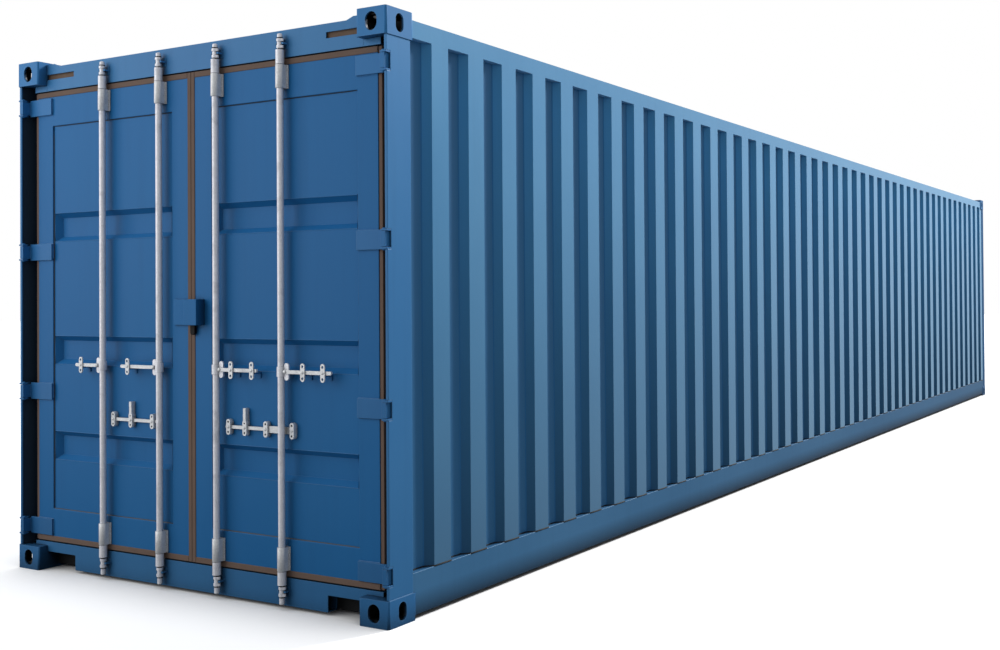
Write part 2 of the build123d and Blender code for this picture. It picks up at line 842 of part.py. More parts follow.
# Gaskets round the door leaves
with BuildPart() as left_door_gasket:
    gasket_outer = door_outer + gasket_reach
    with BuildSketch(Plane.XZ.offset(half_length - gasket_front)):
        with Locations((-(gasket_outer + gasket_inner) / 2, leaf_middle[1])):
            Rectangle(gasket_outer - gasket_inner, door_top - door_base + 2 * gasket_reach)
        with Locations((-leaf_middle[0], leaf_middle[1])):
            Rectangle(door_outer - door_inner, door_top - door_base, mode=Mode.SUBTRACT)
    extrude(amount=-gasket_depth)
left_door_gasket.part.label = "left_door_gasket"
export_step(left_door_gasket.part, "parts/left_door_gasket.step")

with BuildPart() as right_door_gasket:
    mirror(left_door_gasket.part, about=Plane.YZ)
right_door_gasket.part.label = "right_door_gasket"
export_step(right_door_gasket.part, "parts/right_door_gasket.step")

# Hinge blades on the doors, each with a square knuckle round its pin
with BuildPart() as left_door_hinges:
    blade_middle = (pin_inset + knuckle_radius + blade_end_inset) / 2
    for level in hinge_levels:
        with BuildSketch(Plane.XY.offset(level - knuckle_height / 2)):
            with Locations(at(-1, pin_inset, (pin_depth - knuckle_radius + door_face) / 2)):
                Rectangle(2 * knuckle_radius, door_face - pin_depth + knuckle_radius)
            with Locations(at(-1, pin_inset, pin_depth)):
                Circle(pin_radius + pin_clearance, mode=Mode.SUBTRACT)
        extrude(amount=knuckle_height)
        with BuildSketch(Plane.XY.offset(level - half_hinge)):
            with Locations(at(-1, blade_middle, door_face - blade_thickness / 2)):
                Rectangle(blade_end_inset - pin_inset - knuckle_radius, blade_thickness)
        extrude(amount=hinge_height)
left_door_hinges.part.label = "left_door_hinges"
export_step(left_door_hinges.part, "parts/left_door_hinges.step")

with BuildPart() as right_door_hinges:
    mirror(left_door_hinges.part, about=Plane.YZ)
right_door_hinges.part.label = "right_door_hinges"
export_step(right_door_hinges.part, "parts/right_door_hinges.step")

# Bearing brackets on the doors, above and below on each bar
with BuildPart() as left_bar_brackets:
    for bar_x in (-outer_bar, -inner_bar):
        for base in (low_guide_base, top_guide_base):
            with BuildSketch(Plane.XY.offset(base)):
                with Locations((bar_x, bar_depth - half_length)):
                    Circle(guide_radius)
                with Locations((bar_x, (bar_depth + door_face) / 2 - half_length)):
                    Rectangle(2 * guide_radius, door_face - bar_depth)
                with Locations((bar_x, door_face - guide_flange / 2 - half_length)):
                    Rectangle(2 * guide_half_width, guide_flange)
                with Locations((bar_x, bar_depth - half_length)):
                    Circle(bar_radius + guide_clearance, mode=Mode.SUBTRACT)
                with Locations((bar_x, (bar_depth + door_face - guide_flange) / 2 - half_length)):
                    Rectangle(
                        2 * (bar_radius + guide_clearance),
                        door_face - guide_flange - bar_depth,
                        mode=Mode.SUBTRACT,
                    )
            extrude(amount=guide_height)
left_bar_brackets.part.label = "left_bar_brackets"
export_step(left_bar_brackets.part, "parts/left_bar_brackets.step")

with BuildPart() as right_bar_brackets:
    mirror(left_bar_brackets.part, about=Plane.YZ)
right_bar_brackets.part.label = "right_bar_brackets"
export_step(right_bar_brackets.part, "parts/right_bar_brackets.step")


def locking_bar(bar_x, side):
    """One locking bar with its cams, its handle hub and the hub's pivot pin; the hub faces the side."""
    with BuildPart() as bar:
        low_sleeve = (low_cam_base + keeper_height + cam_clearance, low_guide_base - sleeve_gap)
        top_sleeve = (top_guide_base + guide_height + sleeve_gap, top_cam_base - cam_clearance)
        with BuildSketch(Plane.XY.offset(bar_base)):
            with Locations((bar_x, bar_depth - half_length)):
                Circle(stem_radius)
        extrude(amount=bar_top - bar_base)
        chamfer(bar.edges().filter_by(GeomType.CIRCLE), length=stem_chamfer)
        with BuildSketch(Plane.XY.offset(low_sleeve[0])):
            with Locations((bar_x, bar_depth - half_length)):
                Circle(bar_radius)
        extrude(amount=top_sleeve[1] - low_sleeve[0])
        for sleeve_base, sleeve_top in (low_sleeve, top_sleeve):
            with BuildSketch(Plane.XY.offset(sleeve_base)):
                with Locations((bar_x, bar_depth - half_length)):
                    Circle(sleeve_radius)
            extrude(amount=sleeve_top - sleeve_base)
        for cam_base in (low_cam_base, top_cam_base):
            for step in (0, 1):
                with BuildSketch(Plane.XY.offset(cam_base + step * cam_step)):
                    with Locations((bar_x, bar_depth - half_length)):
                        Circle(cam_radius)
                    with Locations((bar_x + side * cam_nose_reach, bar_depth - half_length)):
                        Circle(cam_nose_radius)
                    make_hull()
                extrude(amount=cam_height)
        with BuildSketch(Plane.XY.offset(handle_level - hub_height / 2)):
            with Locations((bar_x, bar_depth - half_length)):
                Circle(hub_radius)
        extrude(amount=hub_height)
        ear_front = arm_front + arm_thickness + arm_gap
        with BuildSketch(Plane.XZ.offset(half_length - ear_front)):
            with Locations((bar_x + side * pivot_reach / 2, handle_level)):
                Rectangle(pivot_reach, hub_web_height)
            with Locations((bar_x + side * pivot_reach, handle_level)):
                SlotOverall(hub_ear_height, hub_ear_width, rotation=90)
        extrude(amount=-hub_ear_thickness)
        with BuildSketch(Plane.XZ.offset(half_length - arm_front)):
            with Locations((bar_x + side * pivot_reach, handle_level)):
                Circle(pivot_radius)
        extrude(amount=-(arm_thickness + arm_gap + hub_ear_thickness))
    return bar.part


def handle(bar_x, side, end, tags):
    """One handle: a flat arm on the pivot with upright tags in front, each with holes for a seal."""
    with BuildPart() as lever:
        with BuildSketch(Plane.XZ.offset(half_length - arm_front)):
            with Locations((bar_x + side * (pivot_reach + end) / 2, handle_level)):
                SlotCenterToCenter(end - pivot_reach - arm_height / 2, arm_height)
            with Locations((bar_x + side * pivot_reach, handle_level)):
                Circle(arm_height / 2)
                Circle(pivot_radius + pivot_clearance, mode=Mode.SUBTRACT)
        extrude(amount=-arm_thickness)
        with BuildSketch(Plane.XZ.offset(half_length - arm_front)):
            for tag in tags:
                with Locations((bar_x + side * tag, handle_level)):
                    SlotOverall(tag_height, tag_width, rotation=90)
                for rise in (-tag_hole_rise, tag_hole_rise):
                    with Locations((bar_x + side * tag, handle_level + rise)):
                        Circle(tag_hole_radius, mode=Mode.SUBTRACT)
        extrude(amount=tag_thickness)
    return lever.part


def cradles(side, bars_and_tags):
    """Ledges on a door panel under the handles, one behind each tag."""
    with BuildPart() as ledges:
        ledge_top = handle_level - arm_height / 2 - cradle_gap
        for bar_x, tags in bars_and_tags:
            for tag in tags:
                middle = side * (bar_x + tag)
                with BuildSketch(Plane.YZ.offset(middle - cradle_width / 2)):
                    with BuildLine():
                        Polyline(
                            (cradle_front - half_length, ledge_top),
                            (panel_face - half_length, ledge_top),
                            (panel_face - half_length, ledge_top - cradle_drop),
                            (panel_face - cradle_ledge - half_length, ledge_top - cradle_drop),
                            (panel_face - cradle_ledge - half_length, ledge_top - cradle_ledge),
                            (cradle_front - half_length, ledge_top - cradle_ledge),
                            close=True,
                        )
                    make_face()
                extrude(amount=cradle_width)
    return ledges.part


def seal_bar(side, span, plate, lugs, latch):
    """The fixed lower bar on a door: a flat bar with one deeper stretch, on lugs, with one upright latch."""
    with BuildPart() as bar:
        with BuildSketch(Plane.XZ.offset(half_length - seal_front)):
            with Locations((side * (span[0] + span[1]) / 2, seal_level)):
                SlotOverall(span[1] - span[0], seal_height)
            with Locations((side * (plate[0] + plate[1]) / 2, seal_level)):
                Rectangle(plate[1] - plate[0], seal_plate_height)
        extrude(amount=-seal_thickness)
        with BuildSketch(Plane.XZ.offset(half_length - seal_lug_front)):
            for lug in (*lugs, latch):
                with Locations((side * lug, seal_level)):
                    SlotOverall(seal_lug_height, seal_lug_width, rotation=90)
                for rise in (-seal_hole_rise, seal_hole_rise):
                    with Locations((side * lug, seal_level + rise)):
                        Circle(seal_hole_radius, mode=Mode.SUBTRACT)
            with Locations((side * latch, seal_level + (seal_hole_rise + seal_latch_height) / 2)):
                Rectangle(seal_latch_width, seal_latch_height - seal_hole_rise)
        extrude(amount=-(panel_face - seal_lug_front))
    return bar.part


# Locking bars, handles and fixed gear, left door then right door
with BuildPart() as left_outer_bar:
    add(locking_bar(-outer_bar, -1))
left_outer_bar.part.label = "left_outer_bar"
export_step(left_outer_bar.part, "parts/left_outer_bar.step")

with BuildPart() as left_inner_bar:
    add(locking_bar(-inner_bar, -1))
left_inner_bar.part.label = "left_inner_bar"
export_step(left_inner_bar.part, "parts/left_inner_bar.step")

with BuildPart() as right_inner_bar:
    add(locking_bar(inner_bar, 1))
right_inner_bar.part.label = "right_inner_bar"
export_step(right_inner_bar.part, "parts/right_inner_bar.step")

with BuildPart() as right_outer_bar:
    add(locking_bar(outer_bar, 1))
right_outer_bar.part.label = "right_outer_bar"
export_step(right_outer_bar.part, "parts/right_outer_bar.step")

with BuildPart() as left_outer_handle:
    add(handle(-outer_bar, -1, left_outer_handle_end, left_outer_tags))
left_outer_handle.part.label = "left_outer_handle"
export_step(left_outer_handle.part, "parts/left_outer_handle.step")

with BuildPart() as left_inner_handle:
    add(handle(-inner_bar, -1, left_inner_handle_end, left_inner_tags))
left_inner_handle.part.label = "left_inner_handle"
export_step(left_inner_handle.part, "parts/left_inner_handle.step")

with BuildPart() as right_inner_handle:
    add(handle(inner_bar, 1, right_inner_handle_end, right_inner_tags))
right_inner_handle.part.label = "right_inner_handle"
export_step(right_inner_handle.part, "parts/right_inner_handle.step")

with BuildPart() as right_outer_handle:
    add(handle(outer_bar, 1, right_outer_handle_end, right_outer_tags))
right_outer_handle.part.label = "right_outer_handle"
export_step(right_outer_handle.part, "parts/right_outer_handle.step")

with BuildPart() as left_handle_cradles:
    add(cradles(-1, ((outer_bar, left_outer_tags), (inner_bar, left_inner_tags))))
left_handle_cradles.part.label = "left_handle_cradles"
export_step(left_handle_cradles.part, "parts/left_handle_cradles.step")

with BuildPart() as right_handle_cradles:
    add(cradles(1, ((outer_bar, right_outer_tags), (inner_bar, right_inner_tags))))
right_handle_cradles.part.label = "right_handle_cradles"
export_step(right_handle_cradles.part, "parts/right_handle_cradles.step")

with BuildPart() as left_seal_bar:
    add(seal_bar(-1, left_seal_span, left_seal_plate, left_seal_lugs, left_seal_latch))
left_seal_bar.part.label = "left_seal_bar"
export_step(left_seal_bar.part, "parts/left_seal_bar.step")

with BuildPart() as right_seal_bar:
    add(seal_bar(1, right_seal_span, right_seal_plate, right_seal_lugs, right_seal_latch))
right_seal_bar.part.label = "right_seal_bar"
export_step(right_seal_bar.part, "parts/right_seal_bar.step")

# Lock at the meeting stiles: a plate on the left door, and a hood on the right door, open below and beside
with BuildPart() as left_lock_box:
    with BuildSketch(Plane.XY.offset(lock_base)):
        with BuildLine():
            Polyline(
                (-gasket_inner, door_face - half_length),
                (-gasket_inner, door_face - lock_plate - half_length),
                (-(lock_reach - lock_plate_edge), door_face - lock_plate - half_length),
                (-lock_reach, door_face - half_length),
                close=True,
            )
        make_face()
    extrude(amount=lock_height)
left_lock_box.part.label = "left_lock_box"
export_step(left_lock_box.part, "parts/left_lock_box.step")

with BuildPart() as right_lock_box:
    lock_middle = (gasket_inner + lock_reach) / 2
    with BuildSketch(Plane.XY.offset(lock_base)):
        with Locations((lock_middle, door_face - lock_box_depth / 2 - half_length)):
            Rectangle(lock_reach - gasket_inner, lock_box_depth)
    extrude(amount=lock_height)
    with BuildSketch(Plane.XY.offset(lock_base)):
        with Locations((lock_middle + lock_box_wall / 2, door_face - lock_box_depth / 2 - half_length)):
            Rectangle(lock_reach - gasket_inner - lock_box_wall, lock_box_depth - 2 * lock_box_wall)
    extrude(amount=lock_height - lock_box_wall, mode=Mode.SUBTRACT)
right_lock_box.part.label = "right_lock_box"
export_step(right_lock_box.part, "parts/right_lock_box.step")

# Dark lock tongue that hangs from inside the box on the right door
with BuildPart() as lock_tongue:
    tongue_x = gasket_inner + lock_box_wall + tongue_width / 2
    tongue_top = lock_base + lock_height - lock_box_wall
    tongue_middle = lock_base - tongue_drop + tongue_width / 2
    with BuildSketch(Plane.XZ.offset(half_length - tongue_front)):
        with Locations((tongue_x, (tongue_top + tongue_middle) / 2)):
            Rectangle(tongue_width, tongue_top - tongue_middle)
        with Locations((tongue_x, tongue_middle)):
            Circle(tongue_width / 2)
    extrude(amount=-tongue_thickness)
lock_tongue.part.label = "lock_tongue"
export_step(lock_tongue.part, "parts/lock_tongue.step")
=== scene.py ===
"""Looks for the freight container: finishes, small fittings, camera, light and stage.

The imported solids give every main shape. This script dresses them, adds the welds, seams, rubber bands, rivets
and screws that ride on them, and sets up the photograph's view.
"""

from __future__ import annotations

import json
import logging
import math
import random
from dataclasses import dataclass, field, replace
from enum import Enum
from functools import partial
from typing import Any, Callable, Sequence

import bmesh
import bpy
from mathutils import Matrix, Vector

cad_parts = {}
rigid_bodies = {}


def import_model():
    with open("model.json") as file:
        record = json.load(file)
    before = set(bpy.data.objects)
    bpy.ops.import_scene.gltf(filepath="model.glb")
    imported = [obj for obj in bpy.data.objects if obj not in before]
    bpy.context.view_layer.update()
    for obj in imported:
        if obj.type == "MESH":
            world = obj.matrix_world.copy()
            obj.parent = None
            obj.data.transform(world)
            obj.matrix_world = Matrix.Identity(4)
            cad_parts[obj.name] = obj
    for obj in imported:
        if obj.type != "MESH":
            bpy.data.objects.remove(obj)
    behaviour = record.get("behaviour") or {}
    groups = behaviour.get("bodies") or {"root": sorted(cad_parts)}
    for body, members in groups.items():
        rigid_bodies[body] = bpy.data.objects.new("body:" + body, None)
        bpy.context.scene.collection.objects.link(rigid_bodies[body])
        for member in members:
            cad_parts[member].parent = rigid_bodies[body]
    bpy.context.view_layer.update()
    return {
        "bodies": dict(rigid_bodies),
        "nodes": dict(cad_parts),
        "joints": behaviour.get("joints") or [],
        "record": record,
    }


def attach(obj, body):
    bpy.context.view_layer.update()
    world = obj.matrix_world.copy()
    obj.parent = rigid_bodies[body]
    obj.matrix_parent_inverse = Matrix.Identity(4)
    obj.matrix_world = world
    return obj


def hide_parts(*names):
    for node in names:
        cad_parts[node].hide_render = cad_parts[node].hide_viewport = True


LOG = logging.getLogger("container")
MM = 0.001
# Half of the container's length and width, and its height, in millimetres
HALF_LENGTH = 6096.0
HALF_WIDTH = 1219.0
HEIGHT = 2591.0
SIDES = ((-1, "left"), (1, "right"))
UP = (0.0, 0.0, 1.0)
DOWN = (0.0, 0.0, -1.0)
# Out of the door end
OUTWARD = (0.0, -1.0, 0.0)
# Faces that meet at a smaller angle than this shade as one
SMOOTH_DEG = 40.0
# Rays of the nodes that feel for edges and corners
NODE_RAYS = {"samples": 4}
COLOUR_MIX = {"data_type": "RGBA"}

Colour = tuple[float, float, float, float]
Point = tuple[float, float, float]
Socket = bpy.types.NodeSocket
Tree = bpy.types.NodeTree
Inputs = dict[str | int, Any]


def linear(hex_code: str) -> Colour:
    """Turn an sRGB hex colour into linear values.

    Args:
        hex_code: Colour such as "#2f6299".

    Returns:
        Linear red, green, blue and an alpha of 1.
    """
    channels = [int(hex_code[i : i + 2], 16) / 255 for i in (1, 3, 5)]
    out = [c / 12.92 if c <= 0.04045 else ((c + 0.055) / 1.055) ** 2.4 for c in channels]
    return (out[0], out[1], out[2], 1.0)


def per_metre(size_mm: float) -> float:
    """Texture scale that gives a pattern of this size in millimetres."""
    return 1.0 / (size_mm * MM)


def add_node(
    tree: Tree,
    kind: str,
    settings: dict[str, Any] | None = None,
    values: Inputs | None = None,
    links: Inputs | None = None,
) -> bpy.types.Node:
    """Add one shader node with its settings, socket values and incoming links.

    Args:
        tree: Node tree to add to.
        kind: Blender's node type without its first part, which is ShaderNode for all of them.
        settings: Attributes of the node.
        values: Values of input sockets.
        links: Output sockets to link into input sockets.

    Returns:
        The new node.
    """
    node = tree.nodes.new(f"ShaderNode{kind}")
    for name, value in (settings or {}).items():
        setattr(node, name, value)
    for name, value in (values or {}).items():
        node.inputs[name].default_value = value
    for name, socket in (links or {}).items():
        tree.links.new(socket, node.inputs[name])
    return node


def blank_tree(owner: bpy.types.Material | bpy.types.World) -> Tree:
    """Node tree of a material or a world, emptied.

    Args:
        owner: Material or world that has the tree.

    Returns:
        The empty node tree.
    """
    owner.use_nodes = True
    owner.node_tree.nodes.clear()
    return owner.node_tree


def put(name: str, data: bpy.types.ID) -> bpy.types.Object:
    """New object in the scene that shows a mesh, a lamp or a camera.

    Args:
        name: Name of the object.
        data: Mesh, lamp or camera that it shows.

    Returns:
        The new object.
    """
    thing = bpy.data.objects.new(name, data)
    bpy.context.scene.collection.objects.link(thing)
    return thing


@dataclass(frozen=True)
class Layer:
    """Colour that covers a finish more and more while a measure goes from its start to its full value."""

    measure: Socket
    colour: str
    start: float = 0.0
    full: float = 1.0
    amount: float = 1.0


@dataclass(frozen=True)
class Finish:
    """A real surface: its colour and the second colour that it drifts to in places."""

    name: str
    colour: str
    drift: str

    def surface(self, tree: Tree, place: Socket) -> tuple[Inputs, Inputs]:
        """Add the nodes of this finish.

        Args:
            tree: Node tree of the material.
            place: Coordinates in the container's frame, in metres.

        Returns:
            Values and links of the shader's sockets.
        """
        raise NotImplementedError

    def layered(self, tree: Tree, layers: Sequence[Layer]) -> Socket:
        """Lay colours over the finish's own colour, the last one on top.

        Args:
            tree: Node tree of the material.
            layers: The layers from the lowest up.

        Returns:
            Socket of the resulting colour.
        """
        below: dict[int, Socket] = {}
        for layer in layers:
            limits = {"From Min": layer.start, "From Max": layer.full, "To Max": layer.amount}
            share = add_node(tree, "MapRange", values=limits, links={"Value": layer.measure})
            colours = {6: linear(self.colour), 7: linear(layer.colour)}
            mix = add_node(tree, "Mix", COLOUR_MIX, colours, {0: share.outputs["Result"], **below})
            below = {6: mix.outputs[2]}
        return below[6]

    def material(self) -> bpy.types.Material:
        """Build the node material of this finish.

        Returns:
            The new material.
        """
        material = bpy.data.materials.new(self.name)
        tree = blank_tree(material)
        place = add_node(tree, "TexCoord").outputs["Object"]
        values, links = self.surface(tree, place)
        shader = add_node(tree, "BsdfPrincipled", values=values, links=links)
        add_node(tree, "OutputMaterial", links={"Surface": shader.outputs["BSDF"]})
        return material


@dataclass(frozen=True)
class PaintedSteel(Finish):
    """Air-sprayed container paint: even satin colour, slow fading, rain streaks, worn edges, darker low down from
    road film and painted shade, painted shade in corners and hollows.
    """

    grime_and_shade: str = "#15304a"
    worn: str = "#6f93b5"
    cavity_shade_and_dirt: str = "#0d1216"
    roughness: float = 0.42
    gloss_below: float = 0.06
    gloss_above: float = 0.1
    specular: float = 0.15
    fade_mm: float = 900.0
    fade_start: float = 0.35
    fade_full: float = 0.7
    streak_mm: float = 55.0
    streak_run_mm: float = 1250.0
    streak_start: float = 0.5
    streak_full: float = 0.8
    streak_amount: float = 0.07
    # Real orange peel is about 2 mm across, too fine to show here, so it is drawn at 8 mm
    peel_mm: float = 8.0
    peel_height_mm: float = 0.3
    peel_strength: float = 0.12
    # Thin sheet is never quite flat: slow waves between its welds
    wave_mm: float = 420.0
    wave_height_mm: float = 1.2
    wave_strength: float = 0.5
    # Height in metres where the darkening towards the bottom ends, partly road film and partly painted shade
    film_and_shade_top: float = 2.3
    film_and_shade_amount: float = 0.42
    # Painted shade with some dirt in corners and recesses: reach in metres of the shelter, and its share of open sky
    cavity_reach: float = 0.12
    cavity_start: float = 0.62
    cavity_full: float = 0.12
    cavity_amount: float = 0.9
    # Worn edges show where the rounded normal leaves the flat one: cosines of that angle
    edge_mm: float = 3.0
    edge_start: float = 0.99
    edge_full: float = 0.9
    edge_amount: float = 0.35
    # Chalked paint and fine dust look paler at a flat angle
    sheen: float = 0.0
    sheen_roughness: float = 0.35
    sheen_tint: str = "#a9d2f5"
    # Hollow whose inside is painted in the corner colour as painted shade: its middle and half size in millimetres,
    # from the container's middle
    shaded_hollow_middle: Point = (0.0, 0.0, 0.0)
    shaded_hollow_half: Point = (0.0, 0.0, 0.0)
    hollow_start: float = 1.03
    hollow_full: float = 0.97

    def shaded_hollow_reach(self, tree: Tree, place: Socket) -> Socket:
        """Measure how far a place is from the middle of the nearest hollow.

        Args:
            tree: Node tree of the paint.
            place: Coordinates in the container's frame.

        Returns:
            Socket that is 1 on the hollow's sides. Hollows lie alike on both sides, at both ends, above and below.
        """
        steps = (
            ("SUBTRACT", (0.0, 0.0, HEIGHT / 2 * MM)),
            ("ABSOLUTE", None),
            ("SUBTRACT", tuple(size * MM for size in self.shaded_hollow_middle)),
            ("ABSOLUTE", None),
            ("DIVIDE", tuple(size * MM for size in self.shaded_hollow_half)),
        )
        for operation, vector in steps:
            values = {1: vector} if vector else None
            place = add_node(tree, "VectorMath", {"operation": operation}, values, {0: place}).outputs["Vector"]
        split = add_node(tree, "SeparateXYZ", links={"Vector": place})
        widest = split.outputs["X"]
        for axis in ("Y", "Z"):
            sides = {0: widest, 1: split.outputs[axis]}
            widest = add_node(tree, "Math", {"operation": "MAXIMUM"}, links=sides).outputs[0]
        return widest

    def surface(self, tree: Tree, place: Socket) -> tuple[Inputs, Inputs]:
        """Add fading, streaks, film and painted shade low down, worn edges, painted shade with dirt in corners and
        painted shade in hollows, with waves and orange peel as relief.

        Args:
            tree: Node tree of the material.
            place: Coordinates in the container's frame, in metres.

        Returns:
            Values and links of the shader's sockets.
        """
        grain = {"Scale": per_metre(self.fade_mm), "Detail": 4.0, "Roughness": 0.55}
        fade = add_node(tree, "TexNoise", values=grain, links={"Vector": place}).outputs["Fac"]
        across, down = per_metre(self.streak_mm), per_metre(self.streak_run_mm)
        stretch = add_node(tree, "Mapping", values={"Scale": (across, across, down)}, links={"Vector": place})
        streaks = add_node(
            tree, "TexNoise", values={"Scale": 1.0, "Detail": 3.0}, links={"Vector": stretch.outputs["Vector"]}
        )
        split = add_node(tree, "SeparateXYZ", links={"Vector": place})
        rounded = add_node(tree, "Bevel", NODE_RAYS, {"Radius": self.edge_mm * MM})
        flat = add_node(tree, "NewGeometry")
        normals = {0: rounded.outputs["Normal"], 1: flat.outputs["Normal"]}
        turned = add_node(tree, "VectorMath", {"operation": "DOT_PRODUCT"}, links=normals).outputs["Value"]
        shelter = add_node(tree, "AmbientOcclusion", NODE_RAYS, {"Distance": self.cavity_reach}).outputs["AO"]
        layers = [
            Layer(fade, self.drift, self.fade_start, self.fade_full),
            Layer(streaks.outputs["Fac"], self.grime_and_shade, self.streak_start, self.streak_full, self.streak_amount),
            # Darker towards the bottom: road film and painted shade
            Layer(split.outputs["Z"], self.grime_and_shade, self.film_and_shade_top, 0.0, self.film_and_shade_amount),
            Layer(turned, self.worn, self.edge_start, self.edge_full, self.edge_amount),
            # Painted shade, with some dirt, where corners and recesses hide the sky
            Layer(shelter, self.cavity_shade_and_dirt, self.cavity_start, self.cavity_full, self.cavity_amount),
        ]
        # Painted shade: inside the hollow the corner colour covers everything
        if any(self.shaded_hollow_half):
            layers.append(Layer(self.shaded_hollow_reach(tree, place), self.cavity_shade_and_dirt, self.hollow_start, self.hollow_full))
        relief: Inputs = {}
        reliefs = (
            (self.wave_mm, 1.0, self.wave_strength, self.wave_height_mm),
            (self.peel_mm, 2.0, self.peel_strength, self.peel_height_mm),
        )
        for size, detail, strength, height in reliefs:
            values = {"Scale": per_metre(size), "Detail": detail}
            noise = add_node(tree, "TexNoise", values=values, links={"Vector": place})
            values = {"Strength": strength, "Distance": height * MM}
            bump = add_node(tree, "Bump", values=values, links={"Height": noise.outputs["Fac"], **relief})
            relief = {"Normal": bump.outputs["Normal"]}
        limits = {"To Min": self.roughness - self.gloss_below, "To Max": self.roughness + self.gloss_above}
        gloss = add_node(tree, "MapRange", values=limits, links={"Value": fade})
        values = {
            "IOR": 1.5,
            "Specular IOR Level": self.specular,
            "Sheen Weight": self.sheen,
            "Sheen Roughness": self.sheen_roughness,
            "Sheen Tint": linear(self.sheen_tint),
        }
        return values, {"Base Color": self.layered(tree, layers), "Roughness": gloss.outputs["Result"], **relief}


@dataclass(frozen=True)
class GalvanisedSteel(Finish):
    """Hot-dip galvanised steel: dull silver-grey with soft crystal patches and darker handling marks, with grease and
    painted shade in its corners.
    """

    mark: str = "#6d6f76"
    mark_mm: float = 60.0
    mark_start: float = 0.55
    mark_full: float = 0.8
    mark_amount: float = 0.35
    mark_height_mm: float = 0.3
    mark_strength: float = 0.15
    # Grease and painted shade in corners: reach in metres of the corners, and their share of open sky
    grease_and_shade: str = "#17191b"
    grease_and_shade_reach: float = 0.03
    grease_and_shade_start: float = 0.7
    grease_and_shade_full: float = 0.3
    grease_and_shade_amount: float = 0.8
    roughness: float = 0.42
    gloss_below: float = 0.05
    gloss_above: float = 0.15
    metallic: float = 0.2
    spangle_mm: float = 9.0

    def surface(self, tree: Tree, place: Socket) -> tuple[Inputs, Inputs]:
        """Add crystal patches, handling marks, and grease with painted shade in the corners.

        Args:
            tree: Node tree of the material.
            place: Coordinates in the container's frame, in metres.

        Returns:
            Values and links of the shader's sockets.
        """
        cells = {"Scale": per_metre(self.spangle_mm), "Randomness": 1.0}
        spangle = add_node(tree, "TexVoronoi", values=cells, links={"Vector": place})
        tone = add_node(tree, "SeparateColor", links={"Color": spangle.outputs["Color"]})
        grain = {"Scale": per_metre(self.mark_mm), "Detail": 4.0}
        marks = add_node(tree, "TexNoise", values=grain, links={"Vector": place}).outputs["Fac"]
        shelter = add_node(tree, "AmbientOcclusion", NODE_RAYS, {"Distance": self.grease_and_shade_reach}).outputs["AO"]
        layers = (
            Layer(tone.outputs["Red"], self.drift),
            Layer(marks, self.mark, self.mark_start, self.mark_full, self.mark_amount),
            # Grease with painted shade where corners hide the sky
            Layer(shelter, self.grease_and_shade, self.grease_and_shade_start, self.grease_and_shade_full, self.grease_and_shade_amount),
        )
        limits = {"To Min": self.roughness - self.gloss_below, "To Max": self.roughness + self.gloss_above}
        gloss = add_node(tree, "MapRange", values=limits, links={"Value": tone.outputs["Green"]})
        relief = {"Strength": self.mark_strength, "Distance": self.mark_height_mm * MM}
        bump = add_node(tree, "Bump", values=relief, links={"Height": marks})
        links = {
            "Base Color": self.layered(tree, layers),
            "Roughness": gloss.outputs["Result"],
            "Normal": bump.outputs["Normal"],
        }
        return {"Metallic": self.metallic}, links


@dataclass(frozen=True)
class ExtrudedRubber(Finish):
    """Rubber or sealant pressed out in a strip, gone brown with dust: dull, cloudy, slightly rough."""

    roughness: float = 0.85
    specular: float = 0.5
    cloud_mm: float = 120.0
    cloud_detail: float = 5.0
    bump_mm: float = 0.6
    bump_strength: float = 0.25

    def surface(self, tree: Tree, place: Socket) -> tuple[Inputs, Inputs]:
        """Add clouds of the second colour, which also stand out a little.

        Args:
            tree: Node tree of the material.
            place: Coordinates in the container's frame, in metres.

        Returns:
            Values and links of the shader's sockets.
        """
        grain = {"Scale": per_metre(self.cloud_mm), "Detail": self.cloud_detail}
        cloud = add_node(tree, "TexNoise", values=grain, links={"Vector": place}).outputs["Fac"]
        relief = {"Strength": self.bump_strength, "Distance": self.bump_mm * MM}
        bump = add_node(tree, "Bump", values=relief, links={"Height": cloud})
        values = {"Roughness": self.roughness, "IOR": 1.5, "Specular IOR Level": self.specular}
        colour = self.layered(tree, [Layer(cloud, self.drift)])
        return values, {"Base Color": colour, "Normal": bump.outputs["Normal"]}


@dataclass(frozen=True)
class BrushedCoating(ExtrudedRubber):
    """Thick brushed-on coating, such as bitumen underseal or blacking: lumpy, uneven and dull."""

    roughness: float = 0.7
    specular: float = 0.3
    cloud_mm: float = 25.0
    cloud_detail: float = 4.0
    bump_mm: float = 1.0
    bump_strength: float = 0.4


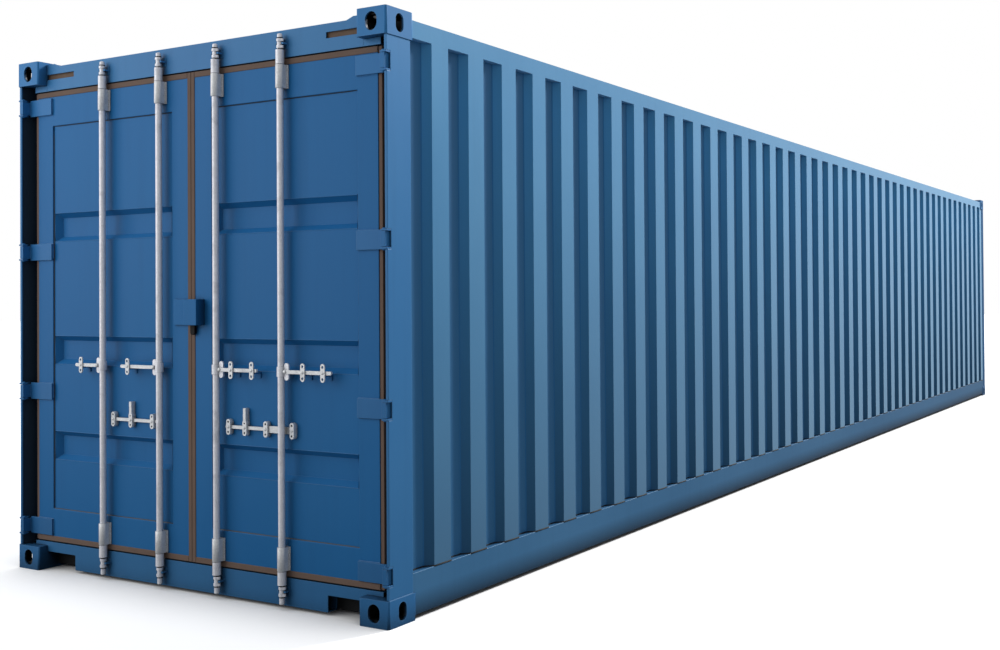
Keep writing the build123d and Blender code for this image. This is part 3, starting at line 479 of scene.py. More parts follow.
@dataclass(frozen=True)
class PlywoodDeck(Finish):
    """Resin-sealed hardwood plywood: long brown grain, a joint at every sheet, scuffs from cargo."""

    roughness: float = 0.55
    grain_mm: float = 14.0
    # Grain runs this many times further along the floor than across it
    grain_run: float = 22.0
    bump_mm: float = 0.6
    bump_strength: float = 0.25
    sheet_length_mm: float = 2400.0
    sheet_width_mm: float = 1160.0
    joint_mm: float = 3.0
    # Tones of one sheet, of the next and of the joint between them
    tones: tuple[float, float, float] = (1.0, 0.82, 0.08)

    def surface(self, tree: Tree, place: Socket) -> tuple[Inputs, Inputs]:
        """Add the grain and darken it sheet by sheet.

        Args:
            tree: Node tree of the material.
            place: Coordinates in the container's frame, in metres.

        Returns:
            Values and links of the shader's sockets.
        """
        across, along = per_metre(self.grain_mm), per_metre(self.grain_mm * self.grain_run)
        stretch = add_node(tree, "Mapping", values={"Scale": (across, along, across)}, links={"Vector": place})
        fibres = {"Scale": 1.0, "Detail": 6.0, "Distortion": 0.6}
        grain = add_node(tree, "TexNoise", values=fibres, links={"Vector": stretch.outputs["Vector"]}).outputs["Fac"]
        quarter = {"Rotation": (0.0, 0.0, math.radians(90.0))}
        turn = add_node(tree, "Mapping", values=quarter, links={"Vector": place})
        sheets: Inputs = {
            "Scale": 1.0,
            "Mortar Size": self.joint_mm * MM,
            "Brick Width": self.sheet_length_mm * MM,
            "Row Height": self.sheet_width_mm * MM,
        }
        for socket, tone in zip(("Color1", "Color2", "Mortar"), self.tones):
            sheets[socket] = (tone, tone, tone, 1.0)
        boards = add_node(tree, "TexBrick", values=sheets, links={"Vector": turn.outputs["Vector"]})
        colours = {6: self.layered(tree, [Layer(grain, self.drift)]), 7: boards.outputs["Color"]}
        jointed = add_node(tree, "Mix", {**COLOUR_MIX, "blend_type": "MULTIPLY"}, {0: 1.0}, colours)
        relief = {"Strength": self.bump_strength, "Distance": self.bump_mm * MM}
        bump = add_node(tree, "Bump", values=relief, links={"Height": grain})
        values = {"Roughness": self.roughness, "IOR": 1.5}
        return values, {"Base Color": jointed.outputs[2], "Normal": bump.outputs["Normal"]}


class Coat(Enum):
    """The finishes of this container, each with what it gives the eye."""

    # Chalky sheet that pales along the wall and darkens towards its foot, partly road film and partly painted shade;
    # its recess floors are painted darker blue as shade
    WALL = PaintedSteel(
        "sprayed_blue_paint_on_wall_sheet",
        "#4089bb",
        "#4890c0",
        grime_and_shade="#234d6c",
        roughness=0.4,
        film_and_shade_amount=0.92,
        edge_amount=0.1,
        cavity_shade_and_dirt="#2f6f9f",
        cavity_reach=0.07,
        sheen=0.66,
        sheen_roughness=0.43,
        sheen_tint="#aed1ec",
        shaded_hollow_middle=(1150.0, 0.0, 0.0),
        shaded_hollow_half=(30.0, 6100.0, 1300.0),
    )
    # Flat, faded blue in wide patches
    ROOF = PaintedSteel(
        "sprayed_blue_paint_chalked_by_sun",
        "#3f79a8",
        "#5586ae",
        roughness=0.75,
        specular=0.2,
        fade_mm=1500.0,
        film_and_shade_amount=0.0,
        edge_amount=0.2,
    )
    # Satin blue with rubbed edges, darker towards the bottom from road film and painted shade, with painted shade and
    # dirt in its corners
    FRAME = PaintedSteel(
        "sprayed_blue_paint_on_frame_steel", "#3a7fb9", "#4085bd", film_and_shade_amount=0.45, edge_mm=4.0, cavity_reach=0.16
    )
    # The same, with its pocket painted nearly black as shade
    POST = replace(
        FRAME,
        name="sprayed_blue_paint_on_rolled_post",
        cavity_shade_and_dirt="#2b3c4e",
        shaded_hollow_middle=(1164.0, 6030.0, 0.0),
        shaded_hollow_half=(49.0, 47.0, 1300.0),
    )
    # Beads that keep the colour of the frame
    WELD = PaintedSteel("sprayed_blue_paint_over_welds", "#3a7fb9", "#4085bd", film_and_shade_amount=0.45, edge_amount=0.0)
    # Rust-brown and painted shade in the corners
    HEADER = PaintedSteel(
        "sprayed_blue_paint_over_rusting_header", "#3a7ab1", "#4080b5", cavity_shade_and_dirt="#3d2a20", film_and_shade_amount=0.3
    )
    # Greyed blue that turns black along its lower edge: painted shade under the rail
    RAIL = PaintedSteel(
        "sprayed_blue_paint_with_painted_shade_at_foot", "#38688f", "#3e6e95", grime_and_shade="#0c1a26", film_and_shade_top=0.12, film_and_shade_amount=0.95
    )
    # Dull dark blue that takes no shine: a darker copy of the frame paint, painted shade on the end posts
    END = PaintedSteel(
        "sprayed_blue_paint_on_shaded_post", "#2a6294", "#306898", roughness=0.7, specular=0.05, film_and_shade_amount=0.3
    )
    # Deep even blue with hardly any shine, a little darker towards the bottom, partly road film and partly painted
    # shade
    DOOR = PaintedSteel("sprayed_blue_paint_on_door_steel", "#1f6aa6", "#256ea9", specular=0.1, film_and_shade_amount=0.18)
    # The same, with painted shade in the corner behind it
    HOOD = replace(
        DOOR, name="sprayed_blue_paint_on_lock_hood", cavity_reach=0.1, cavity_start=0.97, cavity_full=0.45
    )
    # Coarser skin over the casting's grain, painted black inside as shade
    CASTING = PaintedSteel(
        "brushed_blue_paint_on_cast_steel",
        "#337ab6",
        "#397fba",
        roughness=0.48,
        peel_mm=16.0,
        edge_mm=5.0,
        cavity_shade_and_dirt="#06090c",
        cavity_reach=0.22,
        cavity_start=0.75,
        cavity_full=0.3,
        cavity_amount=0.97,
        shaded_hollow_middle=(1138.0, 6007.0, 1236.5),
        shaded_hollow_half=(72.0, 80.0, 50.0),
    )
    # Blue with broad pale edges
    HINGE = PaintedSteel(
        "brushed_blue_paint_on_forged_steel", "#2e74b0", "#3479b4", roughness=0.46, edge_mm=4.0, cavity_amount=0.3
    )
    # Pale silver-grey, darker in corners from grease and painted shade
    ZINC_BAR = GalvanisedSteel(
        "hot_dip_zinc_on_drawn_tube", "#e2e3ea", "#ebecf2", grease_and_shade="#3a4048", grease_and_shade_reach=0.06, grease_and_shade_amount=0.7
    )
    # Finer spangle, black in the gaps from grease and painted shade
    ZINC_GEAR = GalvanisedSteel("hot_dip_zinc_on_forged_gear", "#d2d4d6", "#dee0e2", roughness=0.4, spangle_mm=7.0)
    # Dull brown strip
    RUBBER = ExtrudedRubber("extruded_epdm_rubber_weathered_brown", "#5f4c42", "#6e5a4e")
    # Thin dark line round the door panels: painted shadow at the panel's edge
    SEALANT = ExtrudedRubber("gunned_sealant_dark_as_painted_shadow", "#16222e", "#1c2a38", roughness=0.6, cloud_mm=40.0)
    # Brown floor with long grain
    TIMBER = PlywoodDeck("resin_sealed_hardwood_plywood", "#8a5f3a", "#5f3d24")
    # Lumpy black; as the wall's foot beads and the plates behind the sill's cut-outs it is painted shade
    UNDERSEAL = BrushedCoating("brushed_bitumen_underseal", "#121315", "#1d1f21", specular=0.1)
    # Flat black
    BLACKING = BrushedCoating(
        "blackened_steel", "#060607", "#0d0d0e", roughness=0.6, specular=0.12, cloud_mm=10.0, bump_mm=0.3
    )
    # Brown undercoat, patchy
    PRIMER = BrushedCoating("brown_primer_showing_in_slots", "#5d4a40", "#73604f", roughness=0.8, cloud_mm=45.0)


COAT_OF_SLOT: dict[str, Coat] = {
    "casting_paint": Coat.CASTING,
    "frame_paint": Coat.FRAME,
    "door_paint": Coat.DOOR,
    "wall_paint": Coat.WALL,
    "hinge_paint": Coat.HINGE,
    "underframe_paint": Coat.UNDERSEAL,
    "gasket_rubber": Coat.RUBBER,
    "deck_timber": Coat.TIMBER,
    "bar_zinc": Coat.ZINC_BAR,
    "gear_zinc": Coat.ZINC_GEAR,
    "lock_steel": Coat.BLACKING,
}

# Nodes that wear another coat than the rest of their slot
COAT_OF_NODE: dict[str, Coat] = {
    "roof": Coat.ROOF,
    "left_top_rail": Coat.WALL,
    "right_top_rail": Coat.WALL,
    "left_end_post": Coat.END,
    "right_end_post": Coat.END,
    "left_door_post": Coat.POST,
    "right_door_post": Coat.POST,
    "door_header": Coat.HEADER,
    "left_bottom_rail": Coat.RAIL,
    "right_bottom_rail": Coat.RAIL,
    "end_bottom_rail": Coat.RAIL,
}

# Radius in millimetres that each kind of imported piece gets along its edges
EDGE_RADIUS: dict[str, float] = {
    "castings": 3.0,
    "door_post": 2.5,
    "end_post": 2.5,
    "header": 2.0,
    "sill": 2.0,
    "bottom_rail": 1.5,
    "door_frame": 3.0,
    "door_hinges": 2.0,
    "hinge_lugs": 1.5,
    "lock_box": 2.5,
    "bar_brackets": 1.2,
    "seal_bar": 1.5,
    "_handle": 1.2,
    "gasket": 3.0,
    "lock_tongue": 1.5,
}


@dataclass
class Workshop:
    """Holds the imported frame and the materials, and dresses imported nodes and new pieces."""

    frame: dict[str, Any]
    coats: dict[Coat, bpy.types.Material] = field(default_factory=dict)
    # Corners closer than this are one corner
    join_mm: float = 0.01
    # Faces across a rounded edge
    edge_steps: int = 2

    def coat(self, coat: Coat) -> bpy.types.Material:
        """Material of a finish, built once.

        Args:
            coat: Finish to look up.

        Returns:
            Its material.
        """
        if coat not in self.coats:
            self.coats[coat] = coat.value.material()
        return self.coats[coat]

    def paint(self, piece: bpy.types.Object, coat: Coat) -> None:
        """Give an object one finish all over."""
        piece.data.materials.clear()
        piece.data.materials.append(self.coat(coat))

    def soften(self, piece: bpy.types.Object, radius_mm: float) -> None:
        """Round a solid's edges, so that they catch the light.

        Args:
            piece: Object to round.
            radius_mm: Radius of the rounding.
        """
        weld = piece.modifiers.new("joined_corners", "WELD")
        weld.merge_threshold = self.join_mm * MM
        bevel = piece.modifiers.new("rounded_edges", "BEVEL")
        bevel.width = radius_mm * MM
        bevel.segments = self.edge_steps
        bevel.limit_method = "ANGLE"
        bevel.angle_limit = math.radians(SMOOTH_DEG)
        bevel.use_clamp_overlap = True
        bevel.harden_normals = True

    def dress_nodes(self) -> None:
        """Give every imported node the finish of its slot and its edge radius."""
        for part in self.frame["record"]["subparts"]:
            name = part["node"]
            node = self.frame["nodes"][name]
            self.paint(node, COAT_OF_NODE.get(name, COAT_OF_SLOT[part["material_slot"]]))
            radius = next((size for key, size in EDGE_RADIUS.items() if key in name), 0.0)
            if radius:
                self.soften(node, radius)
            LOG.info("dressed %s", name)

    def add(
        self, name: str, body: str, slot: str, coat: Coat, fill: Callable[[bmesh.types.BMesh], None]
    ) -> bpy.types.Object:
        """Make a new piece, dress it and let it ride on a body.

        Args:
            name: Name of the piece.
            body: Body that it moves with.
            slot: Record slot that its finish belongs to; not used.
            coat: Finish.
            fill: Function that draws its mesh in millimetres.

        Returns:
            The new object.
        """
        mesh = bpy.data.meshes.new(name)
        work = bmesh.new()
        fill(work)
        bmesh.ops.scale(work, vec=(MM, MM, MM), verts=work.verts)
        bmesh.ops.recalc_face_normals(work, faces=work.faces)
        for face in work.faces:
            face.smooth = True
        work.to_mesh(mesh)
        work.free()
        mesh.set_sharp_from_angle(angle=math.radians(SMOOTH_DEG))
        piece = put(name, mesh)
        self.paint(piece, coat)
        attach(piece, body)
        LOG.info("added %s with %d faces", name, len(mesh.polygons))
        return piece


# A path that rises more steeply than this has no level direction to its side
STEEP = 0.9
# How deep a rivet head is sunk, and the share of its radius and rise at each ring of its dome
HEAD_SINK = 1.0
HEAD_DOME = ((1.0, 0.25), (0.86, 0.62), (0.5, 0.92), (0.0, 1.0))


def round_points(middle: Vector, one: Vector, two: Vector, radius: float, sides: int) -> list[Vector]:
    """Points round a circle.

    Args:
        middle: Centre of the circle.
        one: Unit direction of its first point.
        two: Unit direction of the point a quarter turn on.
        radius: Its radius.
        sides: How many points.

    Returns:
        The points in order.
    """
    turns = [2 * math.pi * k / sides for k in range(sides)]
    return [middle + radius * (math.cos(a) * one + math.sin(a) * two) for a in turns]


def draw_tube(
    work: bmesh.types.BMesh,
    path: Sequence[Point],
    radius: float,
    sides: int = 6,
    closed: bool = False,
    step: float = 0.0,
    uneven: float = 0.0,
    seed: int = 1,
) -> None:
    """Draw a round bead along a path.

    Args:
        work: Mesh to draw in.
        path: Corner points in millimetres.
        radius: Radius of the bead.
        sides: Sides of its section.
        closed: Whether the path joins its own start.
        step: Longest distance between rings, or 0 for rings at the corners only.
        uneven: Share by which the radius varies from ring to ring, as in a hand-run weld.
        seed: Start of the variation.
    """
    chance = random.Random(seed)
    corners = [Vector(point) for point in path]
    spans = len(corners) if closed else len(corners) - 1
    points: list[Vector] = []
    for index in range(spans):
        start, end = corners[index], corners[(index + 1) % len(corners)]
        pieces = max(1, math.ceil((end - start).length / step)) if step else 1
        points.extend(start.lerp(end, part / pieces) for part in range(pieces))
    if not closed:
        points.append(corners[-1])
    rings = []
    count = len(points)
    for index, point in enumerate(points):
        before = points[index - 1] if index or closed else point
        after = points[(index + 1) % count] if index < count - 1 or closed else point
        along = (after - before).normalized()
        aside = along.orthogonal() if abs(along.z) > STEEP else along.cross(Vector(UP))
        aside.normalize()
        size = radius * (1 + uneven * chance.uniform(-1, 1))
        rings.append([work.verts.new(place) for place in round_points(point, aside, aside.cross(along), size, sides)])
    links = count if closed else count - 1
    for index in range(links):
        one, two = rings[index], rings[(index + 1) % count]
        offset = 0
        if closed and index == count - 1:
            gaps = [sum((one[k].co - two[(k + s) % sides].co).length for k in range(sides)) for s in range(sides)]
            offset = gaps.index(min(gaps))
        for k in range(sides):
            quad = (one[k], one[(k + 1) % sides], two[(k + 1 + offset) % sides], two[(k + offset) % sides])
            work.faces.new(quad)
    if not closed:
        work.faces.new(rings[0])
        work.faces.new(rings[-1])


def draw_turned(
    work: bmesh.types.BMesh, centre: Point, axis: Point, profile: Sequence[tuple[float, float]], sides: int = 16
) -> None:
    """Draw a turned piece, such as a rivet head or a washer.

    Args:
        work: Mesh to draw in.
        centre: Where the profile's height is zero.
        axis: Direction of the profile's height.
        profile: Radius and height of each ring; a radius of zero closes that end to a point.
        sides: Sides of the round.
    """
    along = Vector(axis).normalized()
    aside = along.orthogonal().normalized()
    rings: list[list[bmesh.types.BMVert]] = []
    for radius, rise in profile:
        middle = Vector(centre) + along * rise
        points = round_points(middle, aside, along.cross(aside), radius, sides) if radius else [middle]
        rings.append([work.verts.new(point) for point in points])
    for one, two in zip(rings, rings[1:]):
        for k in range(sides):
            corners = (one[k % len(one)], one[(k + 1) % len(one)], two[(k + 1) % len(two)], two[k % len(two)])
            work.faces.new(list(dict.fromkeys(corners)))
    for ring in (rings[0], rings[-1]):
        if len(ring) > 2:
            work.faces.new(ring)


def draw_pad(
    work: bmesh.types.BMesh, corners: Sequence[Point], towards: Point, thickness: float, edge: float
) -> None:
    """Draw a flat four-cornered pad with a chamfered front.

    Args:
        work: Mesh to draw in.
        corners: Corners of its back, in order.
        towards: Unit direction from its back to its front.
        thickness: Distance from its back to its front.
        edge: Size of the chamfer.
    """
    back = [Vector(corner) for corner in corners]
    middle = sum(back, Vector()) / len(back)
    rise = Vector(towards)
    shoulder = [corner + rise * (thickness - edge) for corner in back]
    front = []
    for corner in back:
        inward = [edge if part > 0 else -edge if part < 0 else 0.0 for part in middle - corner]
        front.append(corner + rise * thickness + Vector(inward))
    rings = [[work.verts.new(point) for point in ring] for ring in (back, shoulder, front)]
    for one, two in zip(rings, rings[1:]):
        for k in range(len(one)):
            work.faces.new((one[k], one[(k + 1) % len(one)], two[(k + 1) % len(two)], two[k]))
    work.faces.new(rings[0])
    work.faces.new(rings[-1])


def rivet_profile(radius: float, rise: float) -> list[tuple[float, float]]:
    """Profile of a domed rivet head that stands on a surface."""
    return [(radius, -HEAD_SINK)] + [(radius * wide, rise * high) for wide, high in HEAD_DOME]


@dataclass
class ShellFrame:
    """Fittings of the shell: sealed wall feet with black beads, welds of posts and rails, plates behind the door
    end's openings; the beads and the plates behind the sill's cut-outs are black as painted shade.
    """

    casting_length: float = 178.0
    casting_height: float = 118.0
    casting_width: float = 162.0
    post_end: float = 162.0
    post_inset: float = 3.0
    flange_front: float = 8.0
    end_post_size: float = 110.0
    wall_inset: float = 7.0
    rail_inset: float = 5.0
    bottom_rail_base: float = 20.0
    bottom_rail_top: float = 200.0
    top_rail_base: float = 2486.0
    top_rail_top: float = 2562.0
    wave_count: int = 44
    wave_depth: float = 36.0
    outer_share: float = 0.44
    slope_share: float = 0.13
    # Slots in the header and cut-outs in the sill, beside the castings
    slot_length: float = 213.0
    slot_base: float = 2501.0
    slot_top: float = 2527.0
    slot_back: float = 66.0
    cut_length: float = 217.0
    cut_base: float = 16.0
    cut_top: float = 100.0
    cut_back: float = 119.0
    plate: float = 5.0
    plate_edge: float = 1.0
    plate_lap: float = 6.0
    foot_bead: float = 4.5
    foot_rise: float = 1.0
    joint_bead: float = 2.0
    joint_step: float = 14.0
    upright_step: float = 25.0
    joint_uneven: float = 0.2

    def wall_line(self, side: int, level: float) -> list[Point]:
        """Line along the corrugated sheet's outer face.

        Args:
            side: -1 for the left wall, 1 for the right wall.
            level: Height of the line.

        Returns:
            Corner points from the door end to the closed end.
        """
        start, end = self.post_end, 2 * HALF_LENGTH - self.end_post_size
        pitch = (end - start) / self.wave_count
        slope = pitch * self.slope_share
        floor_run = pitch * (1 - self.outer_share - 2 * self.slope_share)
        runs = []
        for index in range(self.wave_count):
            origin = start + index * pitch
            runs.append((origin, 0.0))
            runs.append((origin + slope, self.wave_depth))
            runs.append((origin + slope + floor_run, self.wave_depth))
            runs.append((origin + 2 * slope + floor_run, 0.0))
        runs.append((end, 0.0))
        face = HALF_WIDTH - self.wall_inset
        return [(side * (face - depth), run - HALF_LENGTH, level) for run, depth in runs]

    def build(self, shop: Workshop) -> None:
        """Draw the fittings of both sides.

        Args:
            shop: Workshop that makes and dresses the pieces.
        """
        pieces = (
            ("sheet_foot", "wall_paint", Coat.UNDERSEAL, self._foot),
            ("slot_liner", "frame_paint", Coat.PRIMER, self._liner),
            ("sill_plate", "underframe_paint", Coat.UNDERSEAL, self._plate),
            ("joint_welds", "frame_paint", Coat.WELD, self._joints),
        )
        for side, name in SIDES:
            for piece, slot, coat, fill in pieces:
                shop.add(f"{name}_{piece}", "shell", slot, coat, partial(fill, side=side))

    def _foot(self, work: bmesh.types.BMesh, side: int) -> None:
        """Black sealing where the corrugated sheet stands on the bottom rail, black as painted shade along the wall's
        foot.
        """
        draw_tube(work, self.wall_line(side, self.bottom_rail_top + self.foot_rise), self.foot_bead, sides=5)

    def _backing(
        self, work: bmesh.types.BMesh, side: int, length: float, levels: tuple[float, float], depth: float
    ) -> None:
        """Plate behind an opening beside a casting.

        Args:
            work: Mesh to draw in.
            side: -1 for the left end, 1 for the right end.
            length: Length of the opening.
            levels: Heights of the plate's lower and upper edges.
            depth: Depth of the plate's back.
        """
        base, top = levels
        outer = side * (HALF_WIDTH - self.casting_width)
        inner = outer - side * (length + self.plate_lap)
        y = depth - HALF_LENGTH
        corners = [(inner, y, base), (outer, y, base), (outer, y, top), (inner, y, top)]
        draw_pad(work, corners, OUTWARD, self.plate, self.plate_edge)

    def _liner(self, work: bmesh.types.BMesh, side: int) -> None:
        """Primed plate that shows through the header's slot."""
        levels = (self.slot_base - self.plate_lap, self.slot_top + self.plate_lap)
        self._backing(work, side, self.slot_length, levels, self.slot_back)

    def _plate(self, work: bmesh.types.BMesh, side: int) -> None:
        """Stiffening plate behind the sill's cut-out, black as painted shade seen through it."""
        self._backing(work, side, self.cut_length, (self.cut_base, self.cut_top), self.cut_back)

    def _joints(self, work: bmesh.types.BMesh, side: int) -> None:
        """Beads where posts and rails meet each other and the castings.

        Args:
            work: Mesh to draw in.
            side: -1 for the left side, 1 for the right side.
        """
        face = side * (HALF_WIDTH - self.wall_inset)
        post_face = side * (HALF_WIDTH - self.post_inset)
        rail_face = side * (HALF_WIDTH - self.rail_inset)
        for end in (-1, 1):
            post = end * (HALF_LENGTH - (self.post_end if end < 0 else self.end_post_size))
            outer = end * (HALF_LENGTH - (self.flange_front if end < 0 else self.post_inset))
            casting = end * (HALF_LENGTH - self.casting_length)
            low, high = self.casting_height, HEIGHT - self.casting_height
            # Both ends of each bead, the distance between its rings and the start of its variation
            beads = (
                ((post_face, outer, low), (post_face, post, low), self.joint_step, int(low)),
                ((post_face, outer, high), (post_face, post, high), self.joint_step, int(high)),
                ((face, post, self.bottom_rail_top), (face, post, self.top_rail_base), self.upright_step, 7),
                ((rail_face, casting, self.bottom_rail_base), (rail_face, casting, low), self.joint_step, 11),
                ((face, casting, self.top_rail_base), (face, casting, self.top_rail_top), self.joint_step, 17),
            )
            for *ends, step, seed in beads:
                draw_tube(work, ends, self.joint_bead, step=step, uneven=self.joint_uneven, seed=seed + end)


@dataclass
class HingeLine:
    """One door's four hinges: pin heads on the post's lugs and welds round the blades."""

    side: int
    name: str
    level_shares: tuple[float, ...] = (0.083, 0.3493, 0.6245, 0.9116)
    half_height: float = 42.0
    pin_inset: float = 24.0
    pin_depth: float = 14.0
    head_radius: float = 10.0
    head_rise: float = 6.0
    # Where the blade's weld starts and ends, in from the container's side
    weld_start: float = 89.0
    weld_end: float = 205.0
    door_face: float = 54.0
    bead: float = 3.0
    bead_step: float = 12.0
    bead_uneven: float = 0.25
    bead_seed: int = 31

    def build(self, shop: Workshop) -> None:
        """Draw the pin heads and the blade welds."""
        shop.add(f"{self.name}_pin_heads", "shell", "hinge_paint", Coat.HINGE, self._heads)
        shop.add(f"{self.name}_blade_welds", f"{self.name}_door", "hinge_paint", Coat.HINGE, self._welds)

    def _heads(self, work: bmesh.types.BMesh) -> None:
        """A domed head above and below each hinge.

        Args:
            work: Mesh to draw in.
        """
        x = self.side * (HALF_WIDTH - self.pin_inset)
        y = self.pin_depth - HALF_LENGTH
        profile = rivet_profile(self.head_radius, self.head_rise)
        for share in self.level_shares:
            level = share * HEIGHT
            draw_turned(work, (x, y, level + self.half_height), UP, profile)
            draw_turned(work, (x, y, level - self.half_height), DOWN, profile)

    def _welds(self, work: bmesh.types.BMesh) -> None:
        """A bead round the three free edges of each blade.

        Args:
            work: Mesh to draw in.
        """
        y = self.door_face - HALF_LENGTH
        near = self.side * (HALF_WIDTH - self.weld_start)
        far = self.side * (HALF_WIDTH - self.weld_end)
        for index, share in enumerate(self.level_shares):
            low, high = share * HEIGHT - self.half_height, share * HEIGHT + self.half_height
            path = [(near, y, low), (far, y, low), (far, y, high), (near, y, high)]
            seed = self.bead_seed + index
            draw_tube(work, path, self.bead, step=self.bead_step, uneven=self.bead_uneven, seed=seed)


@dataclass
class DoorLeaf:
    """One door leaf's edges: dark sealant round its panel as painted shadow, rubber bands over its edges, bends of
    its recesses.
    """

    side: int
    name: str
    inner: float = 18.0
    outer: float = 1130.0
    base: float = 164.0
    top: float = 2417.0
    stile: float = 115.0
    top_rail: float = 155.0
    low_rail: float = 145.0
    panel_depth: float = 62.0
    seam_radius: float = 4.0
    seam_step: float = 60.0
    seam_uneven: float = 0.12
    seam_seed: int = 5
    gasket_depth: float = 57.0
    gasket_reach: float = 20.0
    gasket_gap: float = 0.5
    band_lap: float = 6.0
    band_front: float = 51.0
    band_edge: float = 2.0
    recess_tops: tuple[float, ...] = (705.0, 1190.0, 1815.0)
    recess_height: float = 145.0
    recess_margin: float = 8.0
    bend_radius: float = 2.5
    bend_sink: float = 1.0

    def build(self, shop: Workshop) -> None:
        """Draw the seam, the bands and the bends.

        Args:
            shop: Workshop that makes and dresses the pieces.
        """
        body = f"{self.name}_door"
        shop.add(f"{self.name}_panel_seam", body, "door_paint", Coat.SEALANT, self._seam)
        shop.add(f"{self.name}_gasket_bands", body, "gasket_rubber", Coat.RUBBER, self._bands)
        shop.add(f"{self.name}_recess_bends", body, "door_paint", Coat.DOOR, self._bends)

    def loop(self, inner: float, outer: float, base: float, top: float, depth: float) -> list[Point]:
        """Four corners of an upright rectangle on this door.

        Args:
            inner: Distance of its near side from the meeting line.
            outer: Distance of its far side from the meeting line.
            base: Height of its lower side.
            top: Height of its upper side.
            depth: Depth in from the door end.

        Returns:
            The corner points in order.
        """
        y = depth - HALF_LENGTH
        near, far = self.side * inner, self.side * outer
        return [(near, y, base), (far, y, base), (far, y, top), (near, y, top)]

    def _seam(self, work: bmesh.types.BMesh) -> None:
        """Sealant in the corner between the frame and the panel, dark as painted shadow along the panel's edge.

        Args:
            work: Mesh to draw in.
        """
        corners = self.loop(
            self.inner + self.stile,
            self.outer - self.stile,
            self.base + self.low_rail,
            self.top - self.top_rail,
            self.panel_depth,
        )
        draw_tube(
            work,
            corners,
            self.seam_radius,
            closed=True,
            step=self.seam_step,
            uneven=self.seam_uneven,
            seed=self.seam_seed,
        )

    def _bends(self, work: bmesh.types.BMesh) -> None:
        """Rounded bends where the pressed recesses leave the panel.

        Args:
            work: Mesh to draw in.
        """
        near = self.inner + self.stile + self.recess_margin
        far = self.outer - self.stile - self.recess_margin
        for top in self.recess_tops:
            corners = self.loop(near, far, top - self.recess_height, top, self.panel_depth + self.bend_sink)
            draw_tube(work, corners, self.bend_radius, sides=8, closed=True)

    def _bands(self, work: bmesh.types.BMesh) -> None:
        """Outer rubber band that laps over the door's meeting, upper and lower edges.

        Args:
            work: Mesh to draw in.
        """
        lap, reach = self.band_lap, self.gasket_reach
        strips = (
            (self.gasket_gap, self.inner + lap, self.base - reach, self.top + reach),
            (self.inner + lap, self.outer, self.top - lap, self.top + reach),
            (self.inner + lap, self.outer, self.base - reach, self.base + lap),
        )
        for near, far, low, high in strips:
            corners = self.loop(near, far, low, high, self.gasket_depth)
            draw_pad(work, corners, OUTWARD, self.gasket_depth - self.band_front, self.band_edge)


@dataclass
class LockHood:
    """Deep steel hood over the lock on the right door, open below."""

    base: float = 1251.0
    top: float = 1372.0
    near: float = 3.0
    far: float = 86.0
    front: float = 2.0
    door_face: float = 54.0
    plate: float = 5.0
    edge: float = 2.5

    def build(self, shop: Workshop) -> None:
        """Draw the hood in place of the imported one.

        Args:
            shop: Workshop that makes and dresses the pieces.
        """
        hood = shop.add("lock_hood", "right_door", "door_paint", Coat.HOOD, self._hood)
        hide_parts("right_lock_box")
        shop.soften(hood, self.edge)

    def _hood(self, work: bmesh.types.BMesh) -> None:
        """Four walls and a top of one plate thickness.

        Args:
            work: Mesh to draw in.
        """
        loops = []
        for inset, top in ((0.0, self.top), (self.plate, self.top - self.plate)):
            sides = (self.near + inset, self.far - inset)
            depths = (self.front + inset - HALF_LENGTH, self.door_face - inset - HALF_LENGTH)
            plan = [(sides[0], depths[0]), (sides[1], depths[0]), (sides[1], depths[1]), (sides[0], depths[1])]
            loops.append([[work.verts.new((x, y, level)) for x, y in plan] for level in (self.base, top)])
        (outer_low, outer_high), (inner_low, inner_high) = loops
        for low, high in ((outer_low, outer_high), (inner_low, inner_high), (outer_low, inner_low)):
            for k in range(4):
                work.faces.new((low[k], low[(k + 1) % 4], high[(k + 1) % 4], high[k]))
        work.faces.new(outer_high)
        work.faces.new(inner_high)


